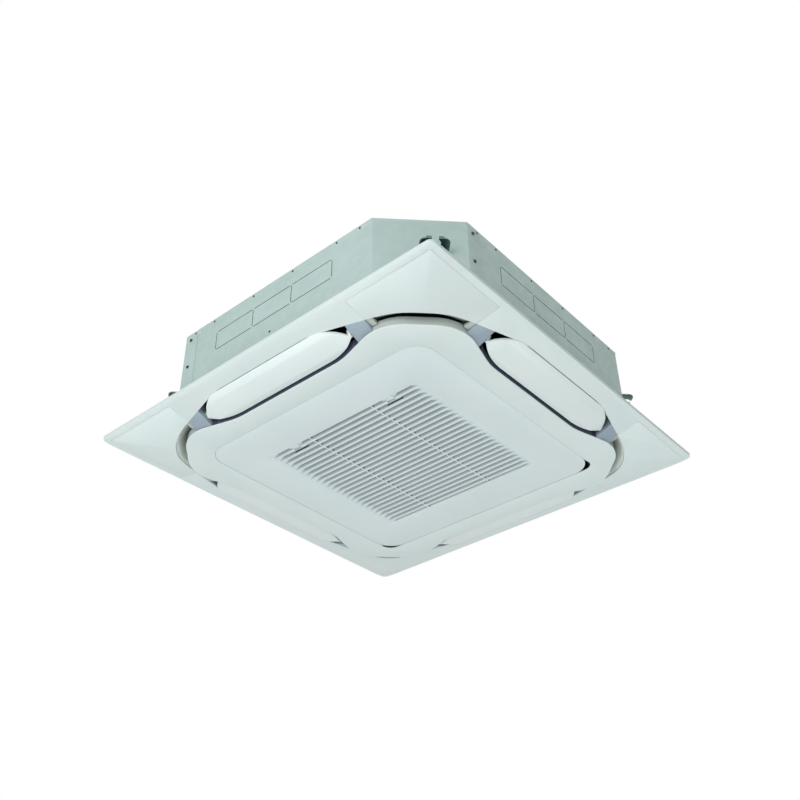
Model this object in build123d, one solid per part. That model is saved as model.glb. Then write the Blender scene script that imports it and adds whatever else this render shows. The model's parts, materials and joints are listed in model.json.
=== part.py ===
from build123d import *
import math
import os

# Four-way ceiling cassette air conditioner with a round-flow decoration panel.
# Millimetres, +Z up. The origin is the centre of the panel, on the lowest plane of its suction grille.
# The sides are front (-Y), right (+X), rear (+Y) and left (-X). Most pieces are drawn for the front side,
# where s runs along the side (+X) and d is the distance from the middle (-Y), and are turned to the others.

# ---- driving dimensions: decoration panel ----
PANEL_SIDE = 950.0        # outer square of the panel
PANEL_CORNER_R = 12.0     # its outer corners, in plan
PANEL_RIM = 8.0           # height of its outer edge, up to the ceiling
PANEL_DROP = 31.0         # grille face below the panel's outer edge
PANEL_SLOPE = 0.20        # rise of the outer frame's lower face per mm outwards
PANEL_WALL = 2.5          # moulded wall of both frames
PANEL_DUCT_TOP = 48.8     # top of the panel's air ducts
CROWN_HALF = 300.0        # the lower face's slopes are drawn to here, inside the air opening
CREASE_R = 260.0          # rounding of the four creases that run to the corners

# outlines in plan: middle of a side, half length of its straight run, slope beyond it, corner point on the
# diagonal, and the two corner radii
OPENING_MID, OPENING_KNEE, OPENING_SLOPE, OPENING_CORNER = 436.5, 137.0, -0.26, 351.0
OPENING_KNEE_R, OPENING_SHOULDER_R = 150.0, 180.0
INNER_MID, INNER_KNEE, INNER_SLOPE, INNER_CORNER = 359.0, 152.0, 0.29, 338.5
INNER_KNEE_R, INNER_SHOULDER_R = 150.0, 95.0
DUCT_OUT_HALF, DUCT_OUT_CHAMFER = 405.0, 484.0   # octagonal upper end of the air ducts
DUCT_IN_HALF, DUCT_IN_CHAMFER = 343.0, 440.0
INNER_TRAY = 22.0         # height of the inner frame's outer edge, under the air ducts
INNER_LIP_BACK = 1.5      # its upright wall stands back from the lip of its face
SEAL_THICK, SEAL_HALF_LENGTH = 1.4, 200.0        # dark foam strips on that wall, behind the flaps

# corner covers and liners
COVER_START = 256.0       # seam across the frame, along the side
COVER_EDGE = 460.0        # seam parallel to the panel's edge
COVER_CORNER_R = 6.0
COVER_WALL = 2.2
COVER_GAP = 0.5           # seam between a cover and the frame
LINER_WALL = 2.0
LINER_GAP = 0.3
LINER_LIFT = 4.5          # lower edge of the corner liners above the frame's lower face
STEP_BLOCK_LENGTH = 12.0  # small block beside each bracket
STEP_BLOCK_RISE = 3.0     # its lower face above the bracket's

# suction grille
GRILLE_HALF = 308.5
GRILLE_GAP = 2.0          # all round the grille
GRILLE_CORNER_R = 50.0
HINGE_CORNER_R = 26.0     # opening's corners on the hinge side, clear of the swinging grille
GRILLE_WALL = 3.0
GRILLE_RIM_H = 12.0
GRILLE_RIM_WALL = 2.5
SLOT_COUNT = 25
SLOT_PITCH = 16.8
SLOT_WIDTH = 7.6
SLOT_HALF_LENGTH = 213.0
SLOT_LEAN = 35.0          # degrees between the slats and the vertical, towards the latches going up
RIB_PLACE = 90.0          # cross ribs, from the middle
RIB_WIDTH = 3.0

# grille hinge and latches
HINGE_X, HINGE_Z = 300.0, 7.0
HINGE_PLACE = 180.0
HINGE_PIN_R = 2.0
HINGE_LUG_R = 3.6
HINGE_LUG_WIDTH = 8.0
HINGE_EAR_WIDTH = 10.0
HINGE_SIDE_GAP = 0.4
HINGE_NOTCH, HINGE_NOTCH_SPARE = 20.0, 2.0    # the rim is open round the hinge, this deep and this far past it
HINGE_ARM_Z = 20.0        # underside of the arm that carries a hinge lug
RUNNING_GAP = 0.05        # radial gap of a pin or shaft in its bore
REACH = 40.0              # cutting shapes run this far past the solid
KNOB_PLACE = 137.0
KNOB_LENGTH = 34.0
KNOB_WIDTH = 10.0
KNOB_TRAVEL = 8.0
LATCH_BAR_WIDTH = 12.0
LATCH_BAR_H = 2.4
KNOB_FIT = 0.4            # gap of a knob in its window
KNOB_RECESS = 0.4         # its face above the grille's
KNOB_GROOVES = (-3.0, 0.0, 3.0)   # finger grooves, across the knob
KNOB_GROOVE_WIDTH, KNOB_GROOVE_TOP, KNOB_GROOVE_END = 1.2, 1.2, 3.0
CARRIER_EDGE = 4.0        # the knob's carrier covers the window by this
LATCH_PLAY = 0.3          # between the carrier and the grille
KNOB_LAND = 8.0           # plain stretch between a knob and the slot beside it

# filter
FILTER_SETBACK = 22.5     # filter frame inside the grille's edge
FILTER_H = 7.0
FILTER_BAR = 8.0
FILTER_RIB = 3.0          # side of its cross ribs
FILTER_CORNER_R = 20.0
FILTER_TAB_WIDTH, FILTER_TAB_H = 50.0, 2.0
FILTER_MESH_H = 0.8

# flaps, brackets and swing motors
FLAP_HALF_LENGTH = 204.0
FLAP_OUT_MID, FLAP_IN_MID = 433.5, 365.0
FLAP_IN_Z, FLAP_OUT_Z = 7.0, 22.8     # heights of the flap's two edges
FLAP_BELLY, FLAP_BACK = 6.5, 2.0      # how far its lower and upper faces bulge
FLAP_EDGE = 2.0                       # thickness of its two long edges
FLAP_STRAIGHT = 122.0                 # half length of its inner edge's straight middle
FLAP_OUT_EXTRA = 12.0                 # its outer edge is straight for this much longer
FLAP_TRIM = 0.2                       # its plan runs this far outside its section's two edges
FLAP_TIP_OUT, FLAP_TIP_IN = 393.0, 388.0
FLAP_AXIS_D, FLAP_AXIS_Z = 393.0, 23.6
FLAP_SHAFT_R = 3.0
FLAP_LUG_R = 5.5
FLAP_LUG_FOOT_Z = 12.6
FLAP_LUG_WIDTH = 4.0
BRACKET_START, BRACKET_END = 213.0, 255.0
BRACKET_WALL = 2.5
BRACKET_TOP = 44.0
BRACKET_IN_Z, BRACKET_OUT_Z = 9.0, 20.0   # lower face at the inner and the outer frame
BRACKET_IN_D, BRACKET_OUT_D = 378.0, 418.0
SWING_MOTOR_R = 7.0
SWING_MOTOR_LENGTH = 18.0

# ---- driving dimensions: casing ----
CASING_SIDE = 840.0
CASING_H = 205.0
CASING_BASE = 51.0
CASING_LEG = 135.0        # leg of the chamfered corners
SHEET = 0.8
LAP = 40.0                # each side sheet laps the next by this much
LIP_H = 12.0              # turned-down edge of the top sheet
BASE_FLANGE = 12.0
FLANGE_BACK = 15.0        # its ends stop this far from the casing's corners
KNOCKOUT_WIDTH, KNOCKOUT_HEIGHT = 117.0, 50.0
KNOCKOUT_COUNT = 3
KNOCKOUT_BASE = 163.5     # lower cut line of the knock-outs
KNOCKOUT_CUT = 1.6
KNOCKOUT_NIB = 6.0        # uncut bridges
PILOT_HOLE_R, PILOT_HOLE_Z = 3.0, 120.0
SCREW_HEAD_R, SCREW_HEAD_H = 4.0, 2.2
SEAM_SCREW_HEIGHTS = (161.0, 239.0)

# hangers
BOLT_BACK_X, BOLT_BACK_Y = 65.0, 30.0     # suspension bolts inside the casing's sides
HANGER_Z = 165.0
HANGER_WIDTH = 60.0
HANGER_REACH = 14.0       # prongs beyond the bolt's centre
HANGER_TIP_WIDTH = 10.5
HANGER_TAB_WIDTH, HANGER_TAB_END = 28.0, 10.0     # the panel's tab, and its end beyond the screw
HANGER_HOLE_R = 12.0
HANGER_MOUTH = 14.0
HANGER_SHEET = 2.5
HANGER_FOOT_Z = 60.0
HANGER_LIP = 7.0          # turned-up tips of the hanger's prongs
HANGER_CORNER_R = 12.0

# foam and drain pan
FOAM_GAP = 0.2
LINER_FOAM = 15.0
TOP_FOAM = 6.0
TOP_FOAM_HOLE_R = 76.0    # round the fan motor
PIPE_FOAM_GAP = 2.0       # round the drain socket's hole
PAN_TOP = 100.0
PAN_SLOT_HALF, PAN_SLOT_IN, PAN_SLOT_OUT = 200.0, 345.0, 402.0
PAN_CORNER_HALF, PAN_CORNER_IN, PAN_CORNER_OUT = 68.0, 440.0, 480.0
TROUGH_Z = 80.0
TROUGH_GAP = 5.0

# fan, bell mouth and motor
BELL_THROAT_R = 170.0
BELL_MOUTH_R = 203.0
BELL_FLANGE_R = 216.0
BELL_TAB = 22.0           # width of its four screw tabs
BELL_TOP = 97.0
BELL_WALL = 2.5
BELL_FLARE = 26.0         # height of its flare
BELL_STEPS, SHROUD_STEPS = 2, 2   # cones that make up each flare
FAN_R = 220.0
FAN_INLET_R = 177.0
FAN_BELL_GAP = 4.0        # between the bell mouth's top and the blades
FAN_BASE, FAN_RIM_Z, FAN_TOP = 90.0, 116.0, 234.0
FAN_WALL = 2.5
BLADE_COUNT = 7
BLADE_START = 0.4         # share of a blade's pitch by which the first one is turned
BLADE_INNER_R, BLADE_OUTER_R = 138.0, 214.0
BLADE_WALL = 5.0
BLADE_SWEEP = 46.0        # degrees that a blade falls back from its root to its tip
BLADE_BELLY = 0.42        # share of that angle reached half way out
HUB_R, HUB_BASE, HUB_TOP = 20.0, 150.0, 184.0
DOME_R, DOME_RIM_R = 80.0, 118.0          # motor cup in the back plate
SHAFT_R = 6.0
SHAFT_SEAT = 20.0         # depth of the shaft in the motor
MOTOR_R, MOTOR_BASE, MOTOR_TOP = 62.0, 200.0, 242.0
MOTOR_MOUNT_R, MOTOR_MOUNT_PLACE = 8.0, 46.0
NUT_R, NUT_H = 11.0, 9.0

# heat exchanger
COIL_OUT, COIL_IN = 297.0, 246.0
COIL_OUT_R, COIL_IN_R = 100.0, 49.0
COIL_TOP = 248.0
COIL_GAP = 205.0          # the bent slab is open beyond this, towards one corner
END_PLATE = 1.5
BEND_R, BEND_PITCH, BEND_COUNT = 4.8, 32.0, 4

# switch box, in the suction space under the pan
BOX_X, BOX_HALF_Y = (221.0, 300.0), 150.0
BOX_Z = (30.0, 74.0)
BOX_WALL = 1.5

# pump, float switch, pipes and cable entry
PUMP_DIAGONAL, PUMP_ASIDE = 405.0, 40.0
PUMP_R, PUMP_BASE, PUMP_TOP = 20.0, 70.0, 172.0
PUMP_HEAD_H = 34.0
SUMP_R, FLOAT_WELL_R, SUMP_Z = 25.0, 17.0, 62.0
FLOAT_R, FLOAT_H = 9.0, 14.0
STRAP_WIDTH, STRAP_H = 10.0, 3.0
STEM_R, STEM_TOP = 3.0, 120.0
PIPE_END = 470.0
NUT_END, COLLAR_END = 440.0, 425.0        # bare stubs start here
STUB_STEP = 0.5           # the runs inside the casing are thinner by this radius
COLLAR_R, COLLAR_WIDTH = 20.0, 3.0
GAS_R, LIQUID_R, PIPE_WALL = 7.94, 4.76, 1.0
NUT_RATIO, NUT_LENGTH_RATIO = 1.7, 2.2    # flare nuts, to their pipe's radius
GAS_Y, LIQUID_Y, PIPE_Z = 200.0, 155.0, 170.0
DRAIN_R, DRAIN_WALL, DRAIN_Z = 16.0, 3.5, 190.0
CABLE_Y, CABLE_Z, CABLE_R, CABLE_WALL = -120.0, 120.0, 9.0, 3.0
GASKET_WIDTH = 8.0
PANEL_SCREW_DIAGONAL, PANEL_SCREW_R = 535.0, 2.5
BOSS_R, BOSS_BASE = 8.0, 10.0

# ---- values worked out from them ----
PANEL_HALF = PANEL_SIDE / 2
CEILING_Z = PANEL_DROP + PANEL_RIM
CASING_HALF = CASING_SIDE / 2
CASING_TOP = CASING_BASE + CASING_H
LAP_OUT = CASING_HALF - SHEET             # outside of a lap, under the top sheet's lip
SIDE_OUT = LAP_OUT - SHEET                # outside of a side sheet
SIDE_IN = SIDE_OUT - SHEET
CHAMFER = (2 * CASING_HALF - CASING_LEG) / math.sqrt(2)   # distance of a chamfer from the middle
CHAMFER_OUT = CHAMFER - SHEET
CHAMFER_IN = CHAMFER_OUT - SHEET
PAN_BASE = CASING_BASE + SHEET
PLATE_BASE = CASING_TOP - SHEET           # underside of the top sheet
OPENING_GRILLE = GRILLE_HALF + GRILLE_GAP
FILTER_HALF = GRILLE_HALF - FILTER_SETBACK
BOLT_PLACE_X, BOLT_PLACE_Y = CASING_HALF - BOLT_BACK_X, CASING_HALF - BOLT_BACK_Y
TURNS = {"front": 0, "right": 90, "rear": 180, "left": 270}
CORNER_TURNS = {"near_right": 0, "far_right": 90, "far_left": 180, "near_left": 270}

os.makedirs("parts", exist_ok=True)
NODES = {}


# ---- helpers ----
def block(x, y, z):
    """A box from three (low, high) pairs."""
    middle = Pos((x[0] + x[1]) / 2, (y[0] + y[1]) / 2, (z[0] + z[1]) / 2)
    return middle * Box(x[1] - x[0], y[1] - y[0], z[1] - z[0])


def side_block(s, d, z):
    """A box on the front side, from (low, high) pairs along s, outwards and up."""
    return block(s, (-d[1], -d[0]), z)


def upright(radius, z, at=(0, 0)):
    """A cylinder along Z between two heights."""
    return Pos(at[0], at[1], (z[0] + z[1]) / 2) * Cylinder(radius, z[1] - z[0])


def along_side(radius, s, d, z):
    """A cylinder that runs along the front side between two places."""
    return Pos((s[0] + s[1]) / 2, -d, z) * Rot(0, 90, 0) * Cylinder(radius, s[1] - s[0])


def outwards(radius, x, y, z):
    """A cylinder along X between two places."""
    return Pos((x[0] + x[1]) / 2, y, z) * Rot(0, 90, 0) * Cylinder(radius, x[1] - x[0])


def turned(shape, degrees):
    """The shape turned about the unit's vertical axis."""
    return Rot(0, 0, degrees) * shape


def four(shape):
    """The shape once on each side."""
    return [turned(shape, degrees) for degrees in TURNS.values()]


def join(*shapes):
    """One fused solid."""
    body = shapes[0]
    for shape in shapes[1:]:
        body = body + shape
    return body


def rounded_prism(half, radius, z):
    """A square prism with rounded upright edges."""
    return Pos(0, 0, z[0]) * extrude(RectangleRounded(2 * half, 2 * half, radius), z[1] - z[0])


def octagon(half, chamfer, z):
    """A square prism with chamfered corners; chamfer is their distance from the middle."""
    square = block((-half, half), (-half, half), z)
    return square & turned(block((-chamfer, chamfer), (-chamfer, chamfer), z), 45)


def at_corner(shape):
    """A shape drawn with +X outwards, moved to the near right corner's diagonal."""
    return turned(shape, -45)


def node(name, *shapes):
    """Keep the solids of one sub-part under its name."""
    solids = [solid for shape in shapes for solid in shape.solids()]
    NODES[name] = solids[0] if len(solids) == 1 else Compound(solids)


class SoftSquare:
    """A plan outline: a square whose sides step in or out towards rounded corners."""

    def __init__(self, mid, knee, slope, corner, knee_r, shoulder_r):
        self.mid, self.knee, self.slope, self.corner = mid, knee, slope, corner
        self.knee_r, self.shoulder_r = knee_r, shoulder_r

    def grown(self, by):
        """The same outline, moved outwards by a distance."""
        stretch = math.sqrt(1 + self.slope ** 2) - 1
        knee_sign = -1 if self.slope > 0 else 1
        return SoftSquare(
            self.mid + by,
            self.knee - by * stretch / self.slope,
            self.slope,
            self.corner + by / math.sqrt(2),
            self.knee_r + knee_sign * by,
            self.shoulder_r + by,
        )

    def edge(self, s):
        """Distance of the outline from the middle, at a place along its side."""
        return self.mid + max(0.0, abs(s) - self.knee) * self.slope

    def face(self, z):
        """The outline as a flat face at a height."""
        reach = 2 * self.corner - self.mid + self.slope * self.knee
        shoulder_s = reach / (1 + self.slope)
        shoulder_d = 2 * self.corner - shoulder_s
        side = [
            (-shoulder_s, -shoulder_d, self.shoulder_r),
            (-self.knee, -self.mid, self.knee_r),
            (self.knee, -self.mid, self.knee_r),
            (shoulder_s, -shoulder_d, self.shoulder_r),
        ]
        points, radii = [], []
        for quarter in range(4):
            cosine, sine = round(math.cos(quarter * math.pi / 2)), round(math.sin(quarter * math.pi / 2))
            for x, y, radius in side:
                points.append((x * cosine - y * sine, x * sine + y * cosine))
                radii.append(radius)
        return Pos(0, 0, z) * make_face(FilletPolyline(*points, radius=radii, close=True))

    def prism(self, z):
        """The outline extruded between two heights."""
        return extrude(self.face(z[0]), z[1] - z[0])

    def tapered(self, z, spread):
        """The outline extruded between two heights while it grows by spread for each unit of height."""
        return extrude(self.face(z[0]), z[1] - z[0], taper=-math.degrees(math.atan(spread)))


OPENING = SoftSquare(OPENING_MID, OPENING_KNEE, OPENING_SLOPE, OPENING_CORNER,
                     OPENING_KNEE_R, OPENING_SHOULDER_R)
INNER = SoftSquare(INNER_MID, INNER_KNEE, INNER_SLOPE, INNER_CORNER, INNER_KNEE_R, INNER_SHOULDER_R)


def duct_out(z, by=0.0):
    """The air ducts' outer boundary at the panel's top, or that boundary grown by a distance."""
    return octagon(DUCT_OUT_HALF + by, DUCT_OUT_CHAMFER + by, z)


def duct_in(z, by=0.0):
    """The air ducts' inner boundary above the inner frame's tray, or that boundary grown."""
    return octagon(DUCT_IN_HALF + by, DUCT_IN_CHAMFER + by, z)


# ---- decoration panel ----
def crown(lift=0.0, inset=0.0, top=CEILING_Z):
    """The solid above the outer frame's lower face, lifted and drawn in by a wall."""
    half = PANEL_HALF - inset
    rim_z = PANEL_DROP + lift - PANEL_SLOPE * inset
    middle_z = PANEL_DROP + lift - PANEL_SLOPE * (PANEL_HALF - CROWN_HALF)
    section = Plane.YZ * make_face(Polyline(
        (-half, rim_z), (-CROWN_HALF, middle_z), (CROWN_HALF, middle_z), (half, rim_z),
        (half, top), (-half, top), close=True))
    ridge = extrude(section, half, both=True)
    pyramid = ridge & turned(ridge, 90)
    creases = [edge for edge in pyramid.edges() if abs(edge.tangent_at(0.5).X) > 0.1
               and abs(edge.tangent_at(0.5).Y) > 0.1]
    pyramid = fillet(creases, CREASE_R)
    return pyramid & rounded_prism(half, max(PANEL_CORNER_R - inset, 1.0), (middle_z - 1, top))


def air_opening(by=0.0):
    """The space inside the outer frame, or that space grown by a wall."""
    return OPENING.grown(by).prism((-PANEL_DROP, PANEL_DUCT_TOP - PANEL_WALL))


def inner_tray(base=0.0):
    """The low outer part of the inner frame: a thin lip round its face and the wall behind it."""
    return INNER.prism((base, PANEL_WALL)) + INNER.grown(-INNER_LIP_BACK).prism((PANEL_WALL, INNER_TRAY))


def grille_opening():
    """The hole for the suction grille, with sharper corners on the hinge side."""
    z = (-1, PANEL_WALL + 1)
    hole = rounded_prism(OPENING_GRILLE, GRILLE_CORNER_R + GRILLE_GAP, z)
    sharper = rounded_prism(OPENING_GRILLE, HINGE_CORNER_R, z)
    return hole + (sharper & block((0, OPENING_GRILLE), (-OPENING_GRILLE, OPENING_GRILLE), z))


def cover_zone(grow=0.0):
    """The prism over one corner cover, in the near right corner."""
    start, edge = COVER_START - grow, COVER_EDGE + grow
    prism = block((start, edge), (-edge, -start), (0, PANEL_DUCT_TOP))
    outer_edge = prism.edges().filter_by(Axis.Z).sort_by(lambda e: e.center().Y - e.center().X)[0]
    return fillet(outer_edge, COVER_CORNER_R + grow)


def screw_places():
    """The four panel screws, on the diagonals."""
    place = PANEL_SCREW_DIAGONAL / math.sqrt(2)
    return [(x * place, y * place) for x in (-1, 1) for y in (-1, 1)]


def outer_frame():
    duct_top = (PANEL_DUCT_TOP - PANEL_WALL, PANEL_DUCT_TOP)
    step = COVER_WALL + COVER_GAP / 2
    frame = crown() - crown(lift=PANEL_WALL, inset=PANEL_WALL, top=CEILING_Z + 1)
    for zone in four(cover_zone(COVER_GAP)):
        frame = frame - (zone - crown(lift=step, top=PANEL_DUCT_TOP))
        frame = frame + (zone & (crown(lift=step) - crown(lift=step + PANEL_WALL)))
    collar = air_opening(PANEL_WALL) & crown(lift=step, top=PANEL_DUCT_TOP)
    frame = frame + collar
    for place in screw_places():
        boss = Pos(*place, BOSS_BASE) * extrude(RegularPolygon(BOSS_R, 8), PANEL_DUCT_TOP - BOSS_BASE)
        frame = frame + (boss & crown(lift=step, top=PANEL_DUCT_TOP))
    frame = frame - air_opening()
    shelf = OPENING.grown(PANEL_WALL).prism(duct_top) - duct_out(duct_top)
    frame = frame + shelf
    for place in screw_places():
        frame = frame - upright(PANEL_SCREW_R + 0.2, (0, CASING_BASE), place)
        frame = frame - Pos(*place, 0) * extrude(RegularPolygon(BOSS_R - PANEL_WALL, 8), PANEL_DROP)
    return frame


def corner_cover():
    shell = crown() - crown(lift=COVER_WALL)
    return (shell & cover_zone()) - air_opening()


def bridge_space(s, rise=0.0, top=PANEL_DUCT_TOP):
    """The space over the brackets' sloping lower face, between two places along the front side."""
    slope = (BRACKET_OUT_Z - BRACKET_IN_Z) / (BRACKET_OUT_D - BRACKET_IN_D)
    low_d, high_d = DUCT_IN_HALF, OPENING_MID
    section = Plane.YZ * make_face(Polyline(
        (-low_d, BRACKET_IN_Z + slope * (low_d - BRACKET_IN_D) + rise),
        (-high_d, BRACKET_IN_Z + slope * (high_d - BRACKET_IN_D) + rise),
        (-high_d, top), (-low_d, top), close=True))
    return Pos(s[0], 0, 0) * extrude(section, s[1] - s[0])


def corner_liner():
    """The curved wall that lines a corner outlet, with the small step block at each of its ends."""
    start, top = BRACKET_END + 0.5, PANEL_DUCT_TOP - PANEL_WALL
    zone = block((start, PANEL_HALF), (-PANEL_HALF, -start), (0, top))
    wall = (air_opening(-LINER_GAP) - air_opening(-LINER_GAP - LINER_WALL)) & zone
    wall = wall & crown(lift=LINER_LIFT, top=top)
    step = bridge_space((start, start + STEP_BLOCK_LENGTH), STEP_BLOCK_RISE, INNER_TRAY)
    step = (step & air_opening(-LINER_GAP)) - INNER.grown(LINER_GAP).prism((0, INNER_TRAY + 1))
    other = mirror(step, Plane(origin=(0, 0, 0), z_dir=(1, 1, 0)))
    return join(wall, step, other)


def hinge_arm(place):
    """The arm that comes down from the suction wall to hold one hinge pin."""
    width = (place - HINGE_LUG_WIDTH / 2, place + HINGE_LUG_WIDTH / 2)
    collar = DUCT_IN_HALF - PANEL_WALL / 2
    across = block((HINGE_X - HINGE_LUG_R, collar), width, (HINGE_ARM_Z, HINGE_ARM_Z + 4))
    down = block((HINGE_X - HINGE_LUG_R, HINGE_X + HINGE_LUG_R), width, (HINGE_Z, HINGE_ARM_Z + 4))
    eye = Pos(HINGE_X, place, HINGE_Z) * Rot(90, 0, 0) * Cylinder(HINGE_LUG_R, HINGE_LUG_WIDTH)
    bore = Pos(HINGE_X, place, HINGE_Z) * Rot(90, 0, 0) * Cylinder(HINGE_PIN_R, HINGE_LUG_WIDTH + 2)
    return join(across, down, eye) - bore


def inner_frame():
    """The grille's surround: a shallow tray whose collar stands between the ducts and the suction space."""
    inside = (PANEL_WALL, INNER_TRAY - PANEL_WALL)
    room = INNER.grown(-INNER_LIP_BACK - PANEL_WALL).prism(inside)
    room = room + duct_in((PANEL_WALL, PANEL_DUCT_TOP), -PANEL_WALL)
    collar = duct_in((inside[1], PANEL_DUCT_TOP)) - duct_in((0, CASING_BASE), -PANEL_WALL)
    frame = join(inner_tray() - room, collar)
    frame = frame - grille_opening()
    for place in (-HINGE_PLACE, HINGE_PLACE):
        frame = frame + hinge_arm(place)
    return frame


def outlet_seal():
    """The dark foam strip on the inner frame's wall, behind the front flap."""
    wall = INNER.grown(-INNER_LIP_BACK)
    z = (PANEL_WALL, INNER_TRAY)
    strip = wall.grown(SEAL_THICK).prism(z) - wall.prism(z)
    return strip & side_block((-SEAL_HALF_LENGTH, SEAL_HALF_LENGTH), (0, PANEL_HALF), z)


def panel_gasket():
    """Foam strips between the panel's ducts and the unit."""
    low, high = (PANEL_DUCT_TOP, CASING_BASE), (PANEL_DUCT_TOP, PAN_BASE)
    return duct_out(low, GASKET_WIDTH) - duct_out(low), duct_in(high) - duct_in(high, -GASKET_WIDTH)


def hex_prism(radius, height):
    """A hexagonal screw head or nut that stands on the ground plane."""
    return extrude(RegularPolygon(radius, 6), height)


def panel_screw(place):
    """A pan-head screw that reaches up into the foot of a hanger."""
    shank = upright(PANEL_SCREW_R, (PANEL_DROP, HANGER_FOOT_Z), place)
    return shank + Pos(*place, PANEL_DROP - 3) * hex_prism(PANEL_SCREW_R * 2, 3)


# ---- flaps, brackets, swing motors ----
def flap_vane():
    """The curved vane: a lens-shaped section, trimmed to its plan and to its upswept ends."""
    half, straight, edge = FLAP_HALF_LENGTH, FLAP_STRAIGHT, FLAP_EDGE / 2
    low = Vector(0, -FLAP_IN_MID, FLAP_IN_Z)
    high = Vector(0, -FLAP_OUT_MID, FLAP_OUT_Z)
    middle, up = (low + high) * 0.5, Vector(0, 0, 1)
    lens = make_face(
        ThreePointArc(low - up * edge, middle - up * FLAP_BELLY, high - up * edge)
        + Line(high - up * edge, high + up * edge)
        + ThreePointArc(high + up * edge, middle + up * FLAP_BACK, low + up * edge)
        + Line(low + up * edge, low - up * edge))
    vane = extrude(lens, half, both=True, dir=(1, 0, 0))

    inner_d, outer_d = FLAP_IN_MID - FLAP_TRIM, FLAP_OUT_MID + FLAP_TRIM
    inner_shoulder, outer_shoulder = (straight, -inner_d), (straight + FLAP_OUT_EXTRA, -outer_d)
    inner_tip, outer_tip = (half, -FLAP_TIP_IN), (half, -FLAP_TIP_OUT)
    right = (TangentArc(inner_shoulder, inner_tip, tangent=(1, 0)) + Line(inner_tip, outer_tip)
             + TangentArc(outer_shoulder, outer_tip, tangent=(1, 0)))
    left = mirror(right, Plane.YZ)
    ends = (Line((-straight, -inner_d), inner_shoulder)
            + Line((-straight - FLAP_OUT_EXTRA, -outer_d), outer_shoulder))
    plan = make_face(right + left + ends)
    vane = vane & extrude(plan, FLAP_OUT_Z + REACH)

    depth = FLAP_BELLY + 2
    bow = (TangentArc((straight, -depth), (half, -edge), tangent=(1, 0))
           + Line((half, -edge), (half, depth)) + Line((half, depth), (-half, depth))
           + Line((-half, depth), (-half, -edge))
           + mirror(TangentArc((straight, -depth), (half, -edge), tangent=(1, 0)), Plane.YZ)
           + Line((-straight, -depth), (straight, -depth)))
    chord = high - low
    start = low - chord.normalized() * REACH
    bow_face = Pos(0, start.Y, start.Z) * (Plane.XZ * make_face(bow))
    return vane & extrude(bow_face, chord.length + 2 * REACH, dir=tuple(chord.normalized()))


def flap_lug_face():
    """Outline of an end lug, seen along the side: it widens downwards into the vane."""
    r = FLAP_LUG_R
    return Plane.YZ * make_face(Polyline(
        (-FLAP_AXIS_D - r / 2, FLAP_AXIS_Z + r), (-FLAP_AXIS_D + r / 2, FLAP_AXIS_Z + r),
        (-FLAP_AXIS_D + r, FLAP_AXIS_Z + r / 2), (-FLAP_AXIS_D + r, FLAP_LUG_FOOT_Z),
        (-FLAP_TIP_OUT, FLAP_LUG_FOOT_Z), (-FLAP_AXIS_D - r, FLAP_AXIS_Z),
        (-FLAP_AXIS_D - r, FLAP_AXIS_Z + r / 2), close=True))


def flap():
    """One outlet flap of the front side, with its end lugs and shafts."""
    half = FLAP_HALF_LENGTH
    vane = flap_vane()
    for sign in (-1, 1):
        near, far = sign * (half - 3), sign * (half + FLAP_LUG_WIDTH)
        s = (min(near, far), max(near, far))
        lug = Pos(s[0], 0, 0) * extrude(flap_lug_face(), s[1] - s[0])
        reach = sign * (BRACKET_START + BRACKET_WALL + 2.0)
        shaft = along_side(FLAP_SHAFT_R, (min(far, reach), max(far, reach)), FLAP_AXIS_D, FLAP_AXIS_Z)
        vane = join(vane, lug, shaft)
    return vane


def bracket(sign):
    """A bridge between the two frames, with the bearing of one flap shaft; its top is open."""
    start, end = BRACKET_START, BRACKET_END
    form = bridge_space((start, end), 0.0, BRACKET_TOP) - bridge_space(
        (start + BRACKET_WALL, end - BRACKET_WALL), BRACKET_WALL)
    form = (form & air_opening()) - inner_tray(-PANEL_DROP) - duct_in((0, PANEL_DUCT_TOP))
    form = form - along_side(FLAP_SHAFT_R + RUNNING_GAP, (start - 1, start + BRACKET_WALL + 1),
                             FLAP_AXIS_D, FLAP_AXIS_Z)
    return form if sign > 0 else mirror(form, Plane.YZ)


def swing_motor():
    """The small geared motor of one flap, against its bracket's wall; the flap's shaft plugs into it."""
    start = BRACKET_START + BRACKET_WALL
    outline = Plane.YZ * RegularPolygon(SWING_MOTOR_R, 8)
    can = Pos(start, -FLAP_AXIS_D, FLAP_AXIS_Z) * extrude(outline, SWING_MOTOR_LENGTH)
    socket = along_side(FLAP_SHAFT_R + RUNNING_GAP, (start - 1, start + 2.3), FLAP_AXIS_D, FLAP_AXIS_Z)
    return can - socket


# ---- suction grille, latches, filter ----
def slot_cut(x, y):
    """The slanting cut between two slats, over a (low, high) stretch from front to rear."""
    lean = math.tan(math.radians(SLOT_LEAN)) * GRILLE_WALL
    left, right = x - SLOT_WIDTH / 2, x + SLOT_WIDTH / 2
    section = Plane.XZ * make_face(Polyline(
        (left + lean, -GRILLE_WALL), (right + lean, -GRILLE_WALL),
        (right - 2 * lean, 2 * GRILLE_WALL), (left - 2 * lean, 2 * GRILLE_WALL), close=True))
    return Pos(0, y[1], 0) * extrude(section, y[1] - y[0])


def slot_places():
    """The slots' middles across the grille, from the latch side."""
    return [(row - (SLOT_COUNT - 1) / 2) * SLOT_PITCH for row in range(SLOT_COUNT)]


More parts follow.
